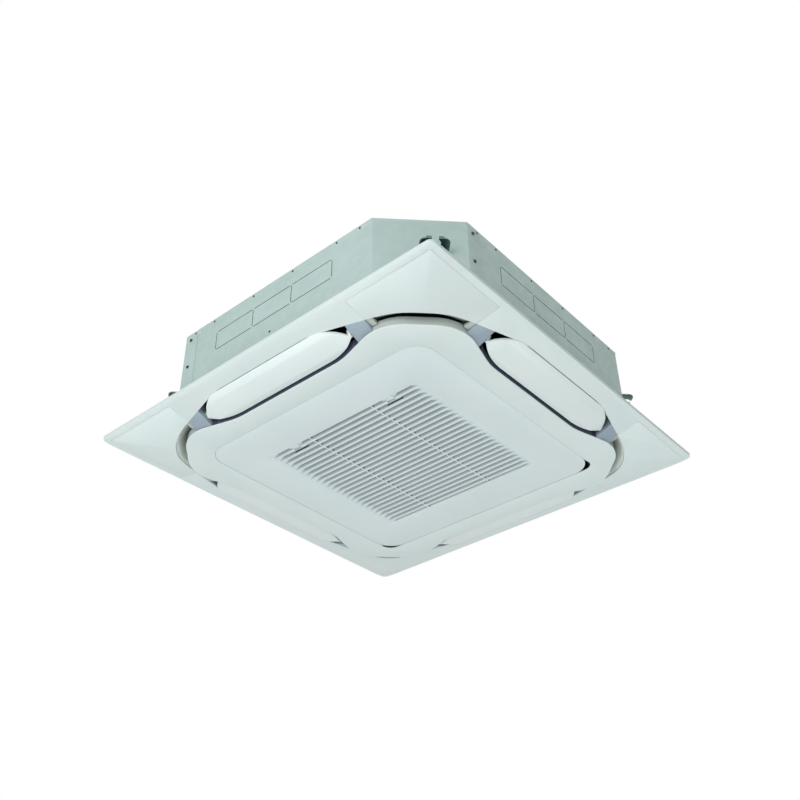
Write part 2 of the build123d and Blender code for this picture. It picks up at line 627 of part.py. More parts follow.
def suction_grille():
    plate = rounded_prism(GRILLE_HALF, GRILLE_CORNER_R, (0, GRILLE_WALL))
    rim = rounded_prism(GRILLE_HALF, GRILLE_CORNER_R, (0, GRILLE_RIM_H)) - rounded_prism(
        GRILLE_HALF - GRILLE_RIM_WALL, GRILLE_CORNER_R - GRILLE_RIM_WALL, (-1, GRILLE_RIM_H + 1))
    grille = plate + rim
    cuts = [slot_cut(x, (-SLOT_HALF_LENGTH, SLOT_HALF_LENGTH)) for x in slot_places()[1:]]
    near, far = KNOB_PLACE - KNOB_LENGTH / 2 - KNOB_LAND, KNOB_PLACE + KNOB_LENGTH / 2 + KNOB_LAND
    for y in ((-SLOT_HALF_LENGTH, -far), (-near, near), (far, SLOT_HALF_LENGTH)):
        cuts.append(slot_cut(slot_places()[0], y))
    grille = grille - cuts
    width = SLOT_COUNT * SLOT_PITCH / 2
    for place in (-RIB_PLACE, RIB_PLACE):
        y = (place - RIB_WIDTH / 2, place + RIB_WIDTH / 2)
        grille = grille + block((-width, width), y, (GRILLE_WALL, GRILLE_RIM_H))
    for place in (-KNOB_PLACE, KNOB_PLACE):
        grille = grille - knob_window(place)
    for place in (-HINGE_PLACE, HINGE_PLACE):
        notch = HINGE_LUG_WIDTH / 2 + HINGE_EAR_WIDTH + HINGE_NOTCH_SPARE
        grille = grille - block((GRILLE_HALF - HINGE_NOTCH, GRILLE_HALF + 1), (place - notch, place + notch),
                                (GRILLE_WALL, GRILLE_RIM_H + 1))
        near = abs(place) - HINGE_LUG_WIDTH / 2 - HINGE_SIDE_GAP
        ear = hinge_ear((near - HINGE_EAR_WIDTH, near))
        grille = grille + (ear if place > 0 else mirror(ear, Plane.XZ))
    return grille


def hinge_ear(y):
    """One ear of the grille round a hinge pin."""
    middle, length = (y[0] + y[1]) / 2, y[1] - y[0]
    reach, top = HINGE_LUG_R, HINGE_Z + HINGE_LUG_R
    section = Plane.XZ * make_face(Polyline(
        (HINGE_X - 2 * reach, GRILLE_WALL), (HINGE_X + reach, GRILLE_WALL),
        (HINGE_X + reach, top - reach / 2), (HINGE_X + reach / 2, top),
        (HINGE_X - reach / 2, top), (HINGE_X - reach, top - reach / 2), close=True))
    ear = Pos(0, y[1], 0) * extrude(section, length)
    bore = Pos(HINGE_X, middle, HINGE_Z) * Rot(90, 0, 0) * Cylinder(HINGE_PIN_R + RUNNING_GAP, length + 2)
    return ear - bore


def hinge_pin(place):
    """A hinge pin, held in the inner frame's arm and turning in the grille's ear beside it."""
    outer = abs(place) + HINGE_LUG_WIDTH / 2
    inner = outer - HINGE_LUG_WIDTH - HINGE_SIDE_GAP - HINGE_EAR_WIDTH
    middle = math.copysign((outer + inner) / 2, place)
    return Pos(HINGE_X, middle, HINGE_Z) * Rot(90, 0, 0) * Cylinder(HINGE_PIN_R, outer - inner)


def knob_window(place):
    """The window of one latch knob, long enough for its travel."""
    x = slot_places()[0]
    return block((x - KNOB_WIDTH / 2 - KNOB_FIT, x + KNOB_WIDTH / 2 + KNOB_TRAVEL + KNOB_FIT),
                 (place - KNOB_LENGTH / 2 - KNOB_FIT, place + KNOB_LENGTH / 2 + KNOB_FIT), (-1, GRILLE_WALL))


def latch_knob(place):
    """A latch knob with its ribbed finger face and the bar that runs to the grille's edge."""
    x = slot_places()[0]
    y = (place - KNOB_LENGTH / 2, place + KNOB_LENGTH / 2)
    base = GRILLE_WALL + LATCH_PLAY
    face = block((x - KNOB_WIDTH / 2, x + KNOB_WIDTH / 2), y, (KNOB_RECESS, base))
    for offset in KNOB_GROOVES:
        groove = (x + offset - KNOB_GROOVE_WIDTH / 2, x + offset + KNOB_GROOVE_WIDTH / 2)
        face = face - block(groove, (y[0] + KNOB_GROOVE_END, y[1] - KNOB_GROOVE_END), (0, KNOB_GROOVE_TOP))
    z = (base, base + LATCH_BAR_H)
    carrier = block((x - KNOB_WIDTH / 2 - CARRIER_EDGE, x + KNOB_WIDTH / 2 + KNOB_TRAVEL + CARRIER_EDGE),
                    (y[0] - CARRIER_EDGE, y[1] + CARRIER_EDGE), z)
    bar = block((-GRILLE_HALF + GRILLE_RIM_WALL + KNOB_FIT, x),
                (place - LATCH_BAR_WIDTH / 2, place + LATCH_BAR_WIDTH / 2), z)
    return join(face, carrier, bar)


def filter_frame():
    z = (GRILLE_RIM_H, GRILLE_RIM_H + FILTER_H)
    frame = rounded_prism(FILTER_HALF, FILTER_CORNER_R, z) - rounded_prism(
        FILTER_HALF - FILTER_BAR, FILTER_CORNER_R - FILTER_BAR, (z[0] - 1, z[1] + 1))
    for place in (-FILTER_HALF / 3, FILTER_HALF / 3):
        low = (z[0], z[0] + FILTER_RIB)
        rib = block((-FILTER_HALF + 1, FILTER_HALF - 1), (place - FILTER_RIB / 2, place + FILTER_RIB / 2), low)
        frame = frame + rib + turned(rib, 90)
    tab = block((FILTER_HALF - 1, GRILLE_HALF - GRILLE_RIM_WALL), (-FILTER_TAB_WIDTH / 2, FILTER_TAB_WIDTH / 2),
                (z[0], z[0] + FILTER_TAB_H))
    frame = frame + turned(tab, 90) + turned(tab, -90)
    return frame


def filter_mesh():
    low = GRILLE_RIM_H + FILTER_RIB
    half = FILTER_HALF - FILTER_BAR
    return rounded_prism(half, FILTER_CORNER_R - FILTER_BAR, (low, low + FILTER_MESH_H))


# ---- casing ----
def side_path(inset, seam_end):
    """Plan points of a side sheet's surface: along the side, the chamfer and the lap."""
    chamfer = (CHAMFER_OUT - inset) * math.sqrt(2)
    side, lap = SIDE_OUT - inset, LAP_OUT - inset
    start = CASING_HALF - CASING_LEG - 1.0
    return [(-start, -side), (chamfer - side, -side), (lap, -(chamfer - lap)), (lap, -seam_end)]


def casing_side():
    """One folded side sheet of the front side, with the near right chamfer and its lap."""
    seam_end = CASING_HALF - CASING_LEG - LAP
    outer, inner = side_path(0.0, seam_end), side_path(SHEET, seam_end)
    plan = make_face(Polyline(*outer, *reversed(inner), close=True))
    sheet = Pos(0, 0, CASING_BASE) * extrude(plan, CASING_H - SHEET)
    run = CASING_HALF - CASING_LEG - FLANGE_BACK
    flange = side_block((-run, run), (SIDE_IN - BASE_FLANGE, SIDE_IN), (CASING_BASE, PAN_BASE))
    half = CASING_LEG / math.sqrt(2) - FLANGE_BACK
    z = (CASING_BASE, PAN_BASE)
    corner_flange = at_corner(block((CHAMFER_IN - BASE_FLANGE, CHAMFER_IN), (-half, half), z))
    pilot_hole = Pos(0, -SIDE_IN, PILOT_HOLE_Z) * Rot(90, 0, 0) * Cylinder(PILOT_HOLE_R, REACH)
    return join(sheet, flange, corner_flange) - knockout_cuts() - pilot_hole


def knockout_cuts():
    """The cut lines of the duct knock-outs, with uncut nibs at their corners."""
    width, height = KNOCKOUT_WIDTH, KNOCKOUT_HEIGHT
    start = -KNOCKOUT_COUNT * width / 2
    depth = (SIDE_IN - 2, SIDE_OUT + 2)
    cut, nib = KNOCKOUT_CUT / 2, KNOCKOUT_NIB / 2
    cuts = []
    for column in range(KNOCKOUT_COUNT):
        s = (start + column * width + nib, start + (column + 1) * width - nib)
        cuts += [side_block(s, depth, (z - cut, z + cut)) for z in (KNOCKOUT_BASE, KNOCKOUT_BASE + height)]
    for column in range(KNOCKOUT_COUNT + 1):
        s = start + column * width
        z = (KNOCKOUT_BASE + nib, KNOCKOUT_BASE + height - nib)
        cuts.append(side_block((s - cut, s + cut), depth, z))
    return cuts


def casing_top():
    """The top sheet with its turned-down lip and a pressed ring."""
    sheet = octagon(CASING_HALF, CHAMFER, (PLATE_BASE, CASING_TOP))
    lip = octagon(CASING_HALF, CHAMFER, (CASING_TOP - LIP_H, CASING_TOP)) - octagon(
        LAP_OUT, CHAMFER_OUT, (CASING_TOP - LIP_H - 1, PLATE_BASE))
    return sheet + lip


def seam_screws():
    """The screws of one lapped seam, on the near end of the front side."""
    s = -(CASING_HALF - CASING_LEG) + LAP * 0.45
    heads = []
    for z in SEAM_SCREW_HEIGHTS:
        heads.append(Pos(s, -LAP_OUT, z) * Rot(90, 0, 0) * hex_prism(SCREW_HEAD_R, SCREW_HEAD_H))
    return heads


def foam_ring(z):
    """The full plan of the foam inside the casing."""
    return octagon(SIDE_IN - FOAM_GAP, CHAMFER_IN - FOAM_GAP, z)


def foam_room(z):
    """The full plan of the space inside the foam liner."""
    return octagon(SIDE_IN - FOAM_GAP - LINER_FOAM, CHAMFER_IN - FOAM_GAP - LINER_FOAM, z)


def insulation():
    ring = foam_ring((PAN_TOP, PLATE_BASE)) - foam_room((PAN_TOP - 1, CASING_TOP))
    x, margin = (SIDE_IN - REACH, CASING_HALF), DRAIN_R + PIPE_FOAM_GAP
    ring = ring - block(x, (LIQUID_Y - margin, PUMP_PLACE[1] + margin), (PIPE_Z - margin, DRAIN_Z + margin))
    ring = ring - block(x, (CABLE_Y - margin, CABLE_Y + margin), (CABLE_Z - margin, CABLE_Z + margin))
    return ring


def top_insulation():
    sheet = foam_room((PLATE_BASE - TOP_FOAM, PLATE_BASE))
    return sheet - upright(TOP_FOAM_HOLE_R, (PLATE_BASE - TOP_FOAM - 1, CASING_TOP))


def corner_point(diagonal, aside):
    """Plan place in the far right corner, from its distances along and beside the diagonal."""
    root = math.sqrt(2)
    return ((diagonal + aside) / root, (diagonal - aside) / root)


PUMP_PLACE = corner_point(PUMP_DIAGONAL, PUMP_ASIDE)
FLOAT_PLACE = corner_point(PUMP_DIAGONAL, 0.0)


def drain_pan():
    pan = foam_ring((PAN_BASE, PAN_TOP))
    pan = pan - upright(BELL_MOUTH_R + BELL_WALL, (0, CASING_TOP))
    slot = side_block((-PAN_SLOT_HALF, PAN_SLOT_HALF), (PAN_SLOT_IN, PAN_SLOT_OUT), (0, CASING_TOP))
    corner = block((PAN_CORNER_IN, PAN_CORNER_OUT), (-PAN_CORNER_HALF, PAN_CORNER_HALF), (0, CASING_TOP))
    pan = pan - four(slot) - four(at_corner(corner))
    trough = rounded_prism(COIL_OUT + TROUGH_GAP, COIL_OUT_R + TROUGH_GAP, (TROUGH_Z, CASING_TOP))
    trough = trough - rounded_prism(COIL_IN - TROUGH_GAP, COIL_IN_R - TROUGH_GAP, (0, CASING_TOP))
    sump_z = (SUMP_Z, CASING_TOP)
    pan = pan - trough - upright(SUMP_R, sump_z, PUMP_PLACE) - upright(FLOAT_WELL_R, sump_z, FLOAT_PLACE)
    pocket = block((BOX_X[0] - 1, BOX_X[1]), (-BOX_HALF_Y, BOX_HALF_Y), (0, BOX_Z[1]))
    return pan - pocket


# ---- fan, bell mouth, motor ----
def revolved(points):
    """A solid of revolution about Z from (radius, height) points."""
    return revolve(Plane.XZ * make_face(Polyline(*points, close=True)), Axis.Z)


def bell_mouth():
    """A flared inlet ring that stands in the pan's hole, with four screw tabs on the pan's underside."""
    inner = [(BELL_MOUTH_R, PAN_BASE)]
    for step in range(1, BELL_STEPS + 1):
        angle = math.pi / 2 * step / BELL_STEPS
        inner.append((BELL_MOUTH_R - (BELL_MOUTH_R - BELL_THROAT_R) * math.sin(angle),
                      PAN_BASE + BELL_FLARE * (1 - math.cos(angle))))
    inner.append((BELL_THROAT_R, BELL_TOP))
    outer = [(radius + BELL_WALL, z) for radius, z in inner]
    bell = revolved(inner + list(reversed(outer)))
    tab = block((BELL_MOUTH_R, BELL_FLANGE_R), (-BELL_TAB / 2, BELL_TAB / 2),
                (PAN_BASE - BELL_WALL, PAN_BASE))
    for degrees in TURNS.values():
        bell = bell + turned(tab, degrees + 45)
    return bell


def blade():
    """One backward-curved blade, upright from the inlet end to the back plate."""
    half_wall = math.degrees(BLADE_WALL / 2 / ((BLADE_INNER_R + BLADE_OUTER_R) / 2))

    def point(radius, degrees):
        return (radius * math.cos(math.radians(degrees)), radius * math.sin(math.radians(degrees)))

    root, tip = point(BLADE_INNER_R, 0), point(BLADE_OUTER_R, -BLADE_SWEEP)
    mid_r, mid = (BLADE_INNER_R + BLADE_OUTER_R) / 2, -BLADE_SWEEP * BLADE_BELLY
    section = make_face(ThreePointArc(root, point(mid_r, mid + half_wall), tip)
                        + ThreePointArc(tip, point(mid_r, mid - half_wall), root))
    return Pos(0, 0, FAN_BASE) * extrude(section, FAN_TOP - FAN_BASE - FAN_WALL / 2, dir=(0, 0, 1))


def shroud_points(rise):
    """The shroud's flare from the inlet ring out to its rim."""
    points = [(FAN_INLET_R, FAN_BASE + rise)]
    for step in range(1, SHROUD_STEPS + 1):
        angle = math.pi / 2 * step / SHROUD_STEPS
        points.append((FAN_INLET_R + (FAN_R - FAN_INLET_R) * (1 - math.cos(angle)),
                       FAN_BASE + 6 + rise + (FAN_RIM_Z - FAN_BASE - 6) * math.sin(angle)))
    return points


def turbo_fan():
    lower = shroud_points(0.0)
    upper = [(radius, z + FAN_WALL) for radius, z in lower]
    shroud = revolved(lower + list(reversed(upper)))
    within = [(radius, z + FAN_WALL / 2) for radius, z in lower]
    space = revolved([(0, FAN_BASE)] + within + [(FAN_R, FAN_TOP), (0, FAN_TOP)])
    space = space - upright(FAN_INLET_R + 1, (0, BELL_TOP + FAN_BELL_GAP))
    plate_low = FAN_TOP - FAN_WALL
    back = revolved([
        (SHAFT_R, HUB_TOP), (DOME_R, HUB_TOP), (DOME_RIM_R, FAN_TOP), (FAN_R, FAN_TOP),
        (FAN_R, plate_low), (DOME_RIM_R, plate_low), (DOME_R, HUB_TOP - FAN_WALL),
        (HUB_R, HUB_TOP - FAN_WALL), (HUB_R, HUB_BASE), (SHAFT_R, HUB_BASE)])
    single = blade() & space
    fan = shroud + back
    for index in range(BLADE_COUNT):
        fan = fan + turned(single, (index + BLADE_START) * 360 / BLADE_COUNT)
    return fan


def motor_shaft():
    return upright(SHAFT_R, (HUB_BASE - NUT_H - 4, MOTOR_BASE + SHAFT_SEAT))


def fan_nut():
    nut = Pos(0, 0, HUB_BASE - NUT_H) * hex_prism(NUT_R, NUT_H)
    return nut - upright(SHAFT_R, (0, CASING_TOP))


def fan_motor():
    can = upright(MOTOR_R, (MOTOR_BASE, MOTOR_TOP))
    return can - upright(SHAFT_R + RUNNING_GAP, (MOTOR_BASE - 1, MOTOR_BASE + SHAFT_SEAT + 0.3))


def motor_mounts():
    """Rubber mounts between the motor and the top sheet."""
    mounts = []
    for index in range(3):
        angle = math.radians(90 + index * 120)
        place = (MOTOR_MOUNT_PLACE * math.cos(angle), MOTOR_MOUNT_PLACE * math.sin(angle))
        outline = Pos(*place, MOTOR_TOP) * RegularPolygon(MOTOR_MOUNT_R, 8)
        mounts.append(extrude(outline, PLATE_BASE - MOTOR_TOP))
    return mounts


# ---- heat exchanger ----
def coil_fins():
    z = (TROUGH_Z, COIL_TOP)
    ring = rounded_prism(COIL_OUT, COIL_OUT_R, z) - rounded_prism(COIL_IN, COIL_IN_R, (0, CASING_TOP))
    return ring - block((COIL_GAP, CASING_HALF), (COIL_GAP, CASING_HALF), (0, CASING_TOP))


def coil_end_plates():
    """The tube sheets on the two open ends of the bent slab."""
    x = (COIL_IN - 2, COIL_OUT)
    plate = block(x, (COIL_GAP, COIL_GAP + END_PLATE), (TROUGH_Z, COIL_TOP))
    return plate, block((COIL_GAP, COIL_GAP + END_PLATE), x, (TROUGH_Z, COIL_TOP))


def return_bends():
    """The copper return bends that stand out of one end plate."""
    face_y, middle = COIL_GAP + END_PLATE, (COIL_IN + COIL_OUT) / 2
    reach = (COIL_OUT - COIL_IN) / 4
    path = Polyline(
        (middle - reach, face_y, 0), (middle - reach, face_y + reach / 2, 0),
        (middle - reach / 2, face_y + reach, 0), (middle + reach / 2, face_y + reach, 0),
        (middle + reach, face_y + reach / 2, 0), (middle + reach, face_y, 0))
    section = Plane(origin=(middle - reach, face_y, 0), z_dir=(0, 1, 0)) * RegularPolygon(BEND_R, 6)
    bend = sweep(section, path=path, transition=Transition.RIGHT)
    return [Pos(0, 0, TROUGH_Z + BEND_PITCH * (index + 0.9)) * bend for index in range(BEND_COUNT)]


# ---- electrics, drain and pipes ----
def switch_box():
    half = BOX_HALF_Y - 1
    outer = block(BOX_X, (-half, half), (BOX_Z[0] + BOX_WALL, BOX_Z[1]))
    inner = block((BOX_X[0] + BOX_WALL, BOX_X[1] - BOX_WALL), (-half + BOX_WALL, half - BOX_WALL),
                  (0, BOX_Z[1] - BOX_WALL))
    return outer - inner


def switch_box_cover():
    return block(BOX_X, (-BOX_HALF_Y + 1, BOX_HALF_Y - 1), (BOX_Z[0], BOX_Z[0] + BOX_WALL))


def drain_pump():
    """The pump stands in the sump; its outlet runs to the drain socket."""
    body = upright(PUMP_R, (PUMP_BASE, PUMP_TOP), PUMP_PLACE)
    inlet = upright(PUMP_R * 0.5, (SUMP_Z, PUMP_BASE), PUMP_PLACE)
    head = Pos(*PUMP_PLACE, PUMP_TOP + PUMP_HEAD_H / 2) * Box(2 * PUMP_R + 4, 2 * PUMP_R + 4, PUMP_HEAD_H)
    return join(body, inlet, head)


def drain_socket():
    """The pipe stub that carries the pump's outlet through the casing."""
    start = PUMP_PLACE[0] + PUMP_R + 2
    y = PUMP_PLACE[1]
    run = outwards(DRAIN_R - STUB_STEP, (start, COLLAR_END), y, DRAIN_Z)
    collar = outwards(COLLAR_R, (COLLAR_END - COLLAR_WIDTH, COLLAR_END), y, DRAIN_Z)
    stub = outwards(DRAIN_R, (COLLAR_END, PIPE_END), y, DRAIN_Z)
    return join(run, collar, stub) - outwards(DRAIN_R - DRAIN_WALL, (start + 4, PIPE_END + 1), y, DRAIN_Z)


def float_switch():
    """The stem of the float switch, with its stop and the strap that fixes it to the pump."""
    x, y = FLOAT_PLACE
    stem = upright(STEM_R, (PUMP_BASE, STEM_TOP + STRAP_H), FLOAT_PLACE)
    stop = Pos(*FLOAT_PLACE, PUMP_BASE - 2) * extrude(RegularPolygon(STEM_R + 3, 8), 2)
    strap_place = Pos((x + PUMP_PLACE[0]) / 2, (y + PUMP_PLACE[1]) / 2, STEM_TOP + STRAP_H / 2)
    strap = strap_place * Rot(0, 0, -45) * Box(PUMP_ASIDE, STRAP_WIDTH, STRAP_H)
    return join(stem, stop, strap) - upright(PUMP_R, (0, CASING_TOP), PUMP_PLACE)


def drain_float():
    body = Pos(*FLOAT_PLACE, PUMP_BASE) * extrude(RegularPolygon(FLOAT_R, 8), FLOAT_H)
    return body - upright(STEM_R + 0.3, (0, CASING_TOP), FLOAT_PLACE)


def refrigerant_pipe(radius, y):
    """A copper run from the coil to a flare nut outside the casing, with the bare stub beyond it."""
    run = outwards(radius - STUB_STEP, (COIL_OUT, NUT_END), y, PIPE_Z)
    stub = outwards(radius, (NUT_END, PIPE_END), y, PIPE_Z)
    nut_length = radius * NUT_LENGTH_RATIO
    nut = Pos(NUT_END - nut_length, y, PIPE_Z) * Rot(0, 90, 0) * hex_prism(radius * NUT_RATIO, nut_length)
    return join(run, nut, stub) - outwards(radius - PIPE_WALL, (COIL_OUT + 3, PIPE_END + 1), y, PIPE_Z)


def cable_grommet():
    """The cable entry: a hexagonal gland on the right side sheet."""
    head = Pos(SIDE_OUT, CABLE_Y, CABLE_Z) * (Plane.YZ * RegularPolygon(CABLE_R + 2 * CABLE_WALL, 6))
    bore = outwards(CABLE_R, (SIDE_OUT - 1, CASING_HALF + REACH), CABLE_Y, CABLE_Z)
    return extrude(head, 2 * CABLE_WALL) - bore


def side_openings(sheet):
    """The right side sheet with the holes for the pipes, the drain and the cable."""
    for radius, y, z in ((GAS_R, GAS_Y, PIPE_Z), (LIQUID_R, LIQUID_Y, PIPE_Z),
                         (DRAIN_R, PUMP_PLACE[1], DRAIN_Z), (CABLE_R + CABLE_WALL, CABLE_Y, CABLE_Z)):
        sheet = sheet - outwards(radius + 0.3, (SIDE_IN - 5, CASING_HALF + 5), y, z)
    return sheet


# ---- hangers ----
def hanger(corner_x, corner_y):
    """A suspension hanger on a chamfer: an open plate for the bolt, its foot plate and the panel's tab."""
    x, y = BOLT_PLACE_X, -BOLT_PLACE_Y
    out = (x - y) / math.sqrt(2)            # along the diagonal
    aside = (x + y) / math.sqrt(2)          # beside it
    face = CHAMFER_OUT
    half = HANGER_WIDTH / 2
    far = out + HANGER_REACH
    plate = block((face, far), (aside - half, aside + half), (HANGER_Z, HANGER_Z + HANGER_SHEET))
    corners = plate.edges().filter_by(Axis.Z).filter_by_position(Axis.X, far - 0.1, far + 0.1)
    plate = fillet(corners, HANGER_CORNER_R)
    tip = HANGER_MOUTH / 2 + HANGER_TIP_WIDTH
    tips = block((far - HANGER_SHEET, far), (aside - tip, aside + tip), (HANGER_Z, HANGER_Z + HANGER_LIP))
    foot = block((face, face + HANGER_SHEET), (aside - half, aside + half),
                 (HANGER_FOOT_Z, HANGER_Z + HANGER_SHEET))
    tab = block((face, PANEL_SCREW_DIAGONAL + HANGER_TAB_END), (-HANGER_TAB_WIDTH / 2, HANGER_TAB_WIDTH / 2),
                (HANGER_FOOT_Z - HANGER_SHEET, HANGER_FOOT_Z))
    body = join(plate, tips, foot, tab)
    body = body - upright(HANGER_HOLE_R, (HANGER_Z - 1, HANGER_Z + HANGER_LIP + 1), (out, aside))
    mouth = block((out, far + 1), (aside - HANGER_MOUTH / 2, aside + HANGER_MOUTH / 2),
                  (HANGER_Z - 1, HANGER_Z + HANGER_LIP + 1))
    body = body - mouth - upright(PANEL_SCREW_R, (0, HANGER_FOOT_Z + 1), (PANEL_SCREW_DIAGONAL, 0))
    body = at_corner(body)
    if corner_x < 0:
        body = mirror(body, Plane.YZ)
    if corner_y > 0:
        body = mirror(body, Plane.XZ)
    return body


# ---- the whole unit ----
node("outer_frame", outer_frame())
node("inner_frame", inner_frame())
node("outlet_seals", *four(outlet_seal()))
node("panel_gasket", *panel_gasket())
node("panel_screws", *[panel_screw(place) for place in screw_places()])
cover, liner = corner_cover(), corner_liner()
for name, degrees in CORNER_TURNS.items():
    node(f"corner_cover_{name}", turned(cover, degrees))
node("corner_liners", *four(liner))

vane, motor = flap(), swing_motor()
bridges = [bracket(-1), bracket(1)]
for name, degrees in TURNS.items():
    node(f"flap_{name}", turned(vane, degrees))
    node(f"flap_brackets_{name}", *[turned(bridge, degrees) for bridge in bridges])
    node(f"swing_motor_{name}", turned(motor, degrees))

node("suction_grille", suction_grille())
node("grille_hinge_pins", hinge_pin(-HINGE_PLACE), hinge_pin(HINGE_PLACE))
node("latch_knob_front", latch_knob(-KNOB_PLACE))
node("latch_knob_rear", latch_knob(KNOB_PLACE))
node("filter_frame", filter_frame())
node("filter_mesh", filter_mesh())

side = casing_side()
for name, degrees in TURNS.items():
    sheet = turned(side, degrees)
    node(f"casing_side_{name}", side_openings(sheet) if name == "right" else sheet)
node("casing_top", casing_top())
node("casing_screws", *[turned(head, degrees) for head in seam_screws() for degrees in TURNS.values()])
node("insulation", insulation())
node("top_insulation", top_insulation())
node("drain_pan", drain_pan())

node("bell_mouth", bell_mouth())
node("turbo_fan", turbo_fan())
node("motor_shaft", motor_shaft())
node("fan_nut", fan_nut())
node("fan_motor", fan_motor())
node("motor_mounts", *motor_mounts())

node("coil_fins", coil_fins())
node("coil_end_plates", *coil_end_plates())
node("return_bends", *return_bends())

node("switch_box", switch_box())
node("switch_box_cover", switch_box_cover())
node("drain_pump", drain_pump())
node("drain_socket", drain_socket())
node("float_switch", float_switch())
node("drain_float", drain_float())
node("gas_pipe", refrigerant_pipe(GAS_R, GAS_Y))
node("liquid_pipe", refrigerant_pipe(LIQUID_R, LIQUID_Y))
node("cable_grommet", cable_grommet())

node("hangers", *[hanger(x, y) for x in (-1, 1) for y in (-1, 1)])

for name, shape in NODES.items():
    export_step(shape, f"parts/{name}.step")
print(len(NODES), "nodes")
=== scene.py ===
"""The looks of a ceiling cassette air conditioner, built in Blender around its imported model.

Every length is in metres and every piece stands in the model's own frame: +Z is up into the ceiling void,
and the grille's lower face lies on z = 0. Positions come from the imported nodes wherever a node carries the
piece.
"""

import json
import logging
import math
from dataclasses import dataclass
from enum import Enum
from typing import Any, Callable, Sequence

import bmesh
import bpy
from mathutils import Matrix, Vector

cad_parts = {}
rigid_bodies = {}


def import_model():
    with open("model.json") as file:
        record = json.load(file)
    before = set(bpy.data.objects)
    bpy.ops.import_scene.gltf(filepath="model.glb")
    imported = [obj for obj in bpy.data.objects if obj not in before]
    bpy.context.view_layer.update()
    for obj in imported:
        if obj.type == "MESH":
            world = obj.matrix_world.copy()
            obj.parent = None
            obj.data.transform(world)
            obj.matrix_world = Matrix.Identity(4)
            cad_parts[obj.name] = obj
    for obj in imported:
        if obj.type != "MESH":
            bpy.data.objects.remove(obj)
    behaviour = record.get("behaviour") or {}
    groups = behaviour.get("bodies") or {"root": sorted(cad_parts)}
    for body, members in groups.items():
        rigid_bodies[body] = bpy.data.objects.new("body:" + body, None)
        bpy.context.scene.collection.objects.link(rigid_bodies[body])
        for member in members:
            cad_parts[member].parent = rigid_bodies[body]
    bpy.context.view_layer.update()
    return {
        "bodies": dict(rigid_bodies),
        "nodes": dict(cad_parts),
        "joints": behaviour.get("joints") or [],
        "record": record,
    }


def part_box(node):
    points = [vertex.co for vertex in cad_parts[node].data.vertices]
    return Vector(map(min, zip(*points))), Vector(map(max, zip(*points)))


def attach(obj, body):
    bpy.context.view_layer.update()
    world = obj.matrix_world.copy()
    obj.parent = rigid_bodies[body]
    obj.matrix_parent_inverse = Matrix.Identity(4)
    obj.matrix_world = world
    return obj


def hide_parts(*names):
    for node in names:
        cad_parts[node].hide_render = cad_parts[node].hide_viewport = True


log = logging.getLogger("cassette")

Colour = tuple[float, float, float, float]
Socket = bpy.types.NodeSocket

SIDES = {"front": (0.0, -1.0), "right": (1.0, 0.0), "rear": (0.0, 1.0), "left": (-1.0, 0.0)}
CORNERS = ("near_right", "far_right", "far_left", "near_left")
ZERO = (0.0, 0.0, 0.0)
NOISE_SPAN = (0.3, 0.7)
MM = 0.001
FINE_EDGE = 0.2 * MM


def srgb(red: int, green: int, blue: int) -> Colour:
    """Turn a colour as it looks, in 0 to 255, into the linear colour that a shader takes.

    Args:
        red: Red part.
        green: Green part.
        blue: Blue part.

    Returns:
        The linear colour with full alpha.
    """
    def linear(part: int) -> float:
        """Undo the screen's curve for one part."""
        share = part / 255
        return share / 12.92 if share <= 0.04045 else ((share + 0.055) / 1.055) ** 2.4

    return linear(red), linear(green), linear(blue), 1.0


def put_in_scene(name: str, data: bpy.types.ID) -> bpy.types.Object:
    """Make an object around its data and link it to the scene.

    Args:
        name: The object's name.
        data: Its mesh, light or camera.

    Returns:
        The object.
    """
    made = bpy.data.objects.new(name, data)
    bpy.context.scene.collection.objects.link(made)
    return made


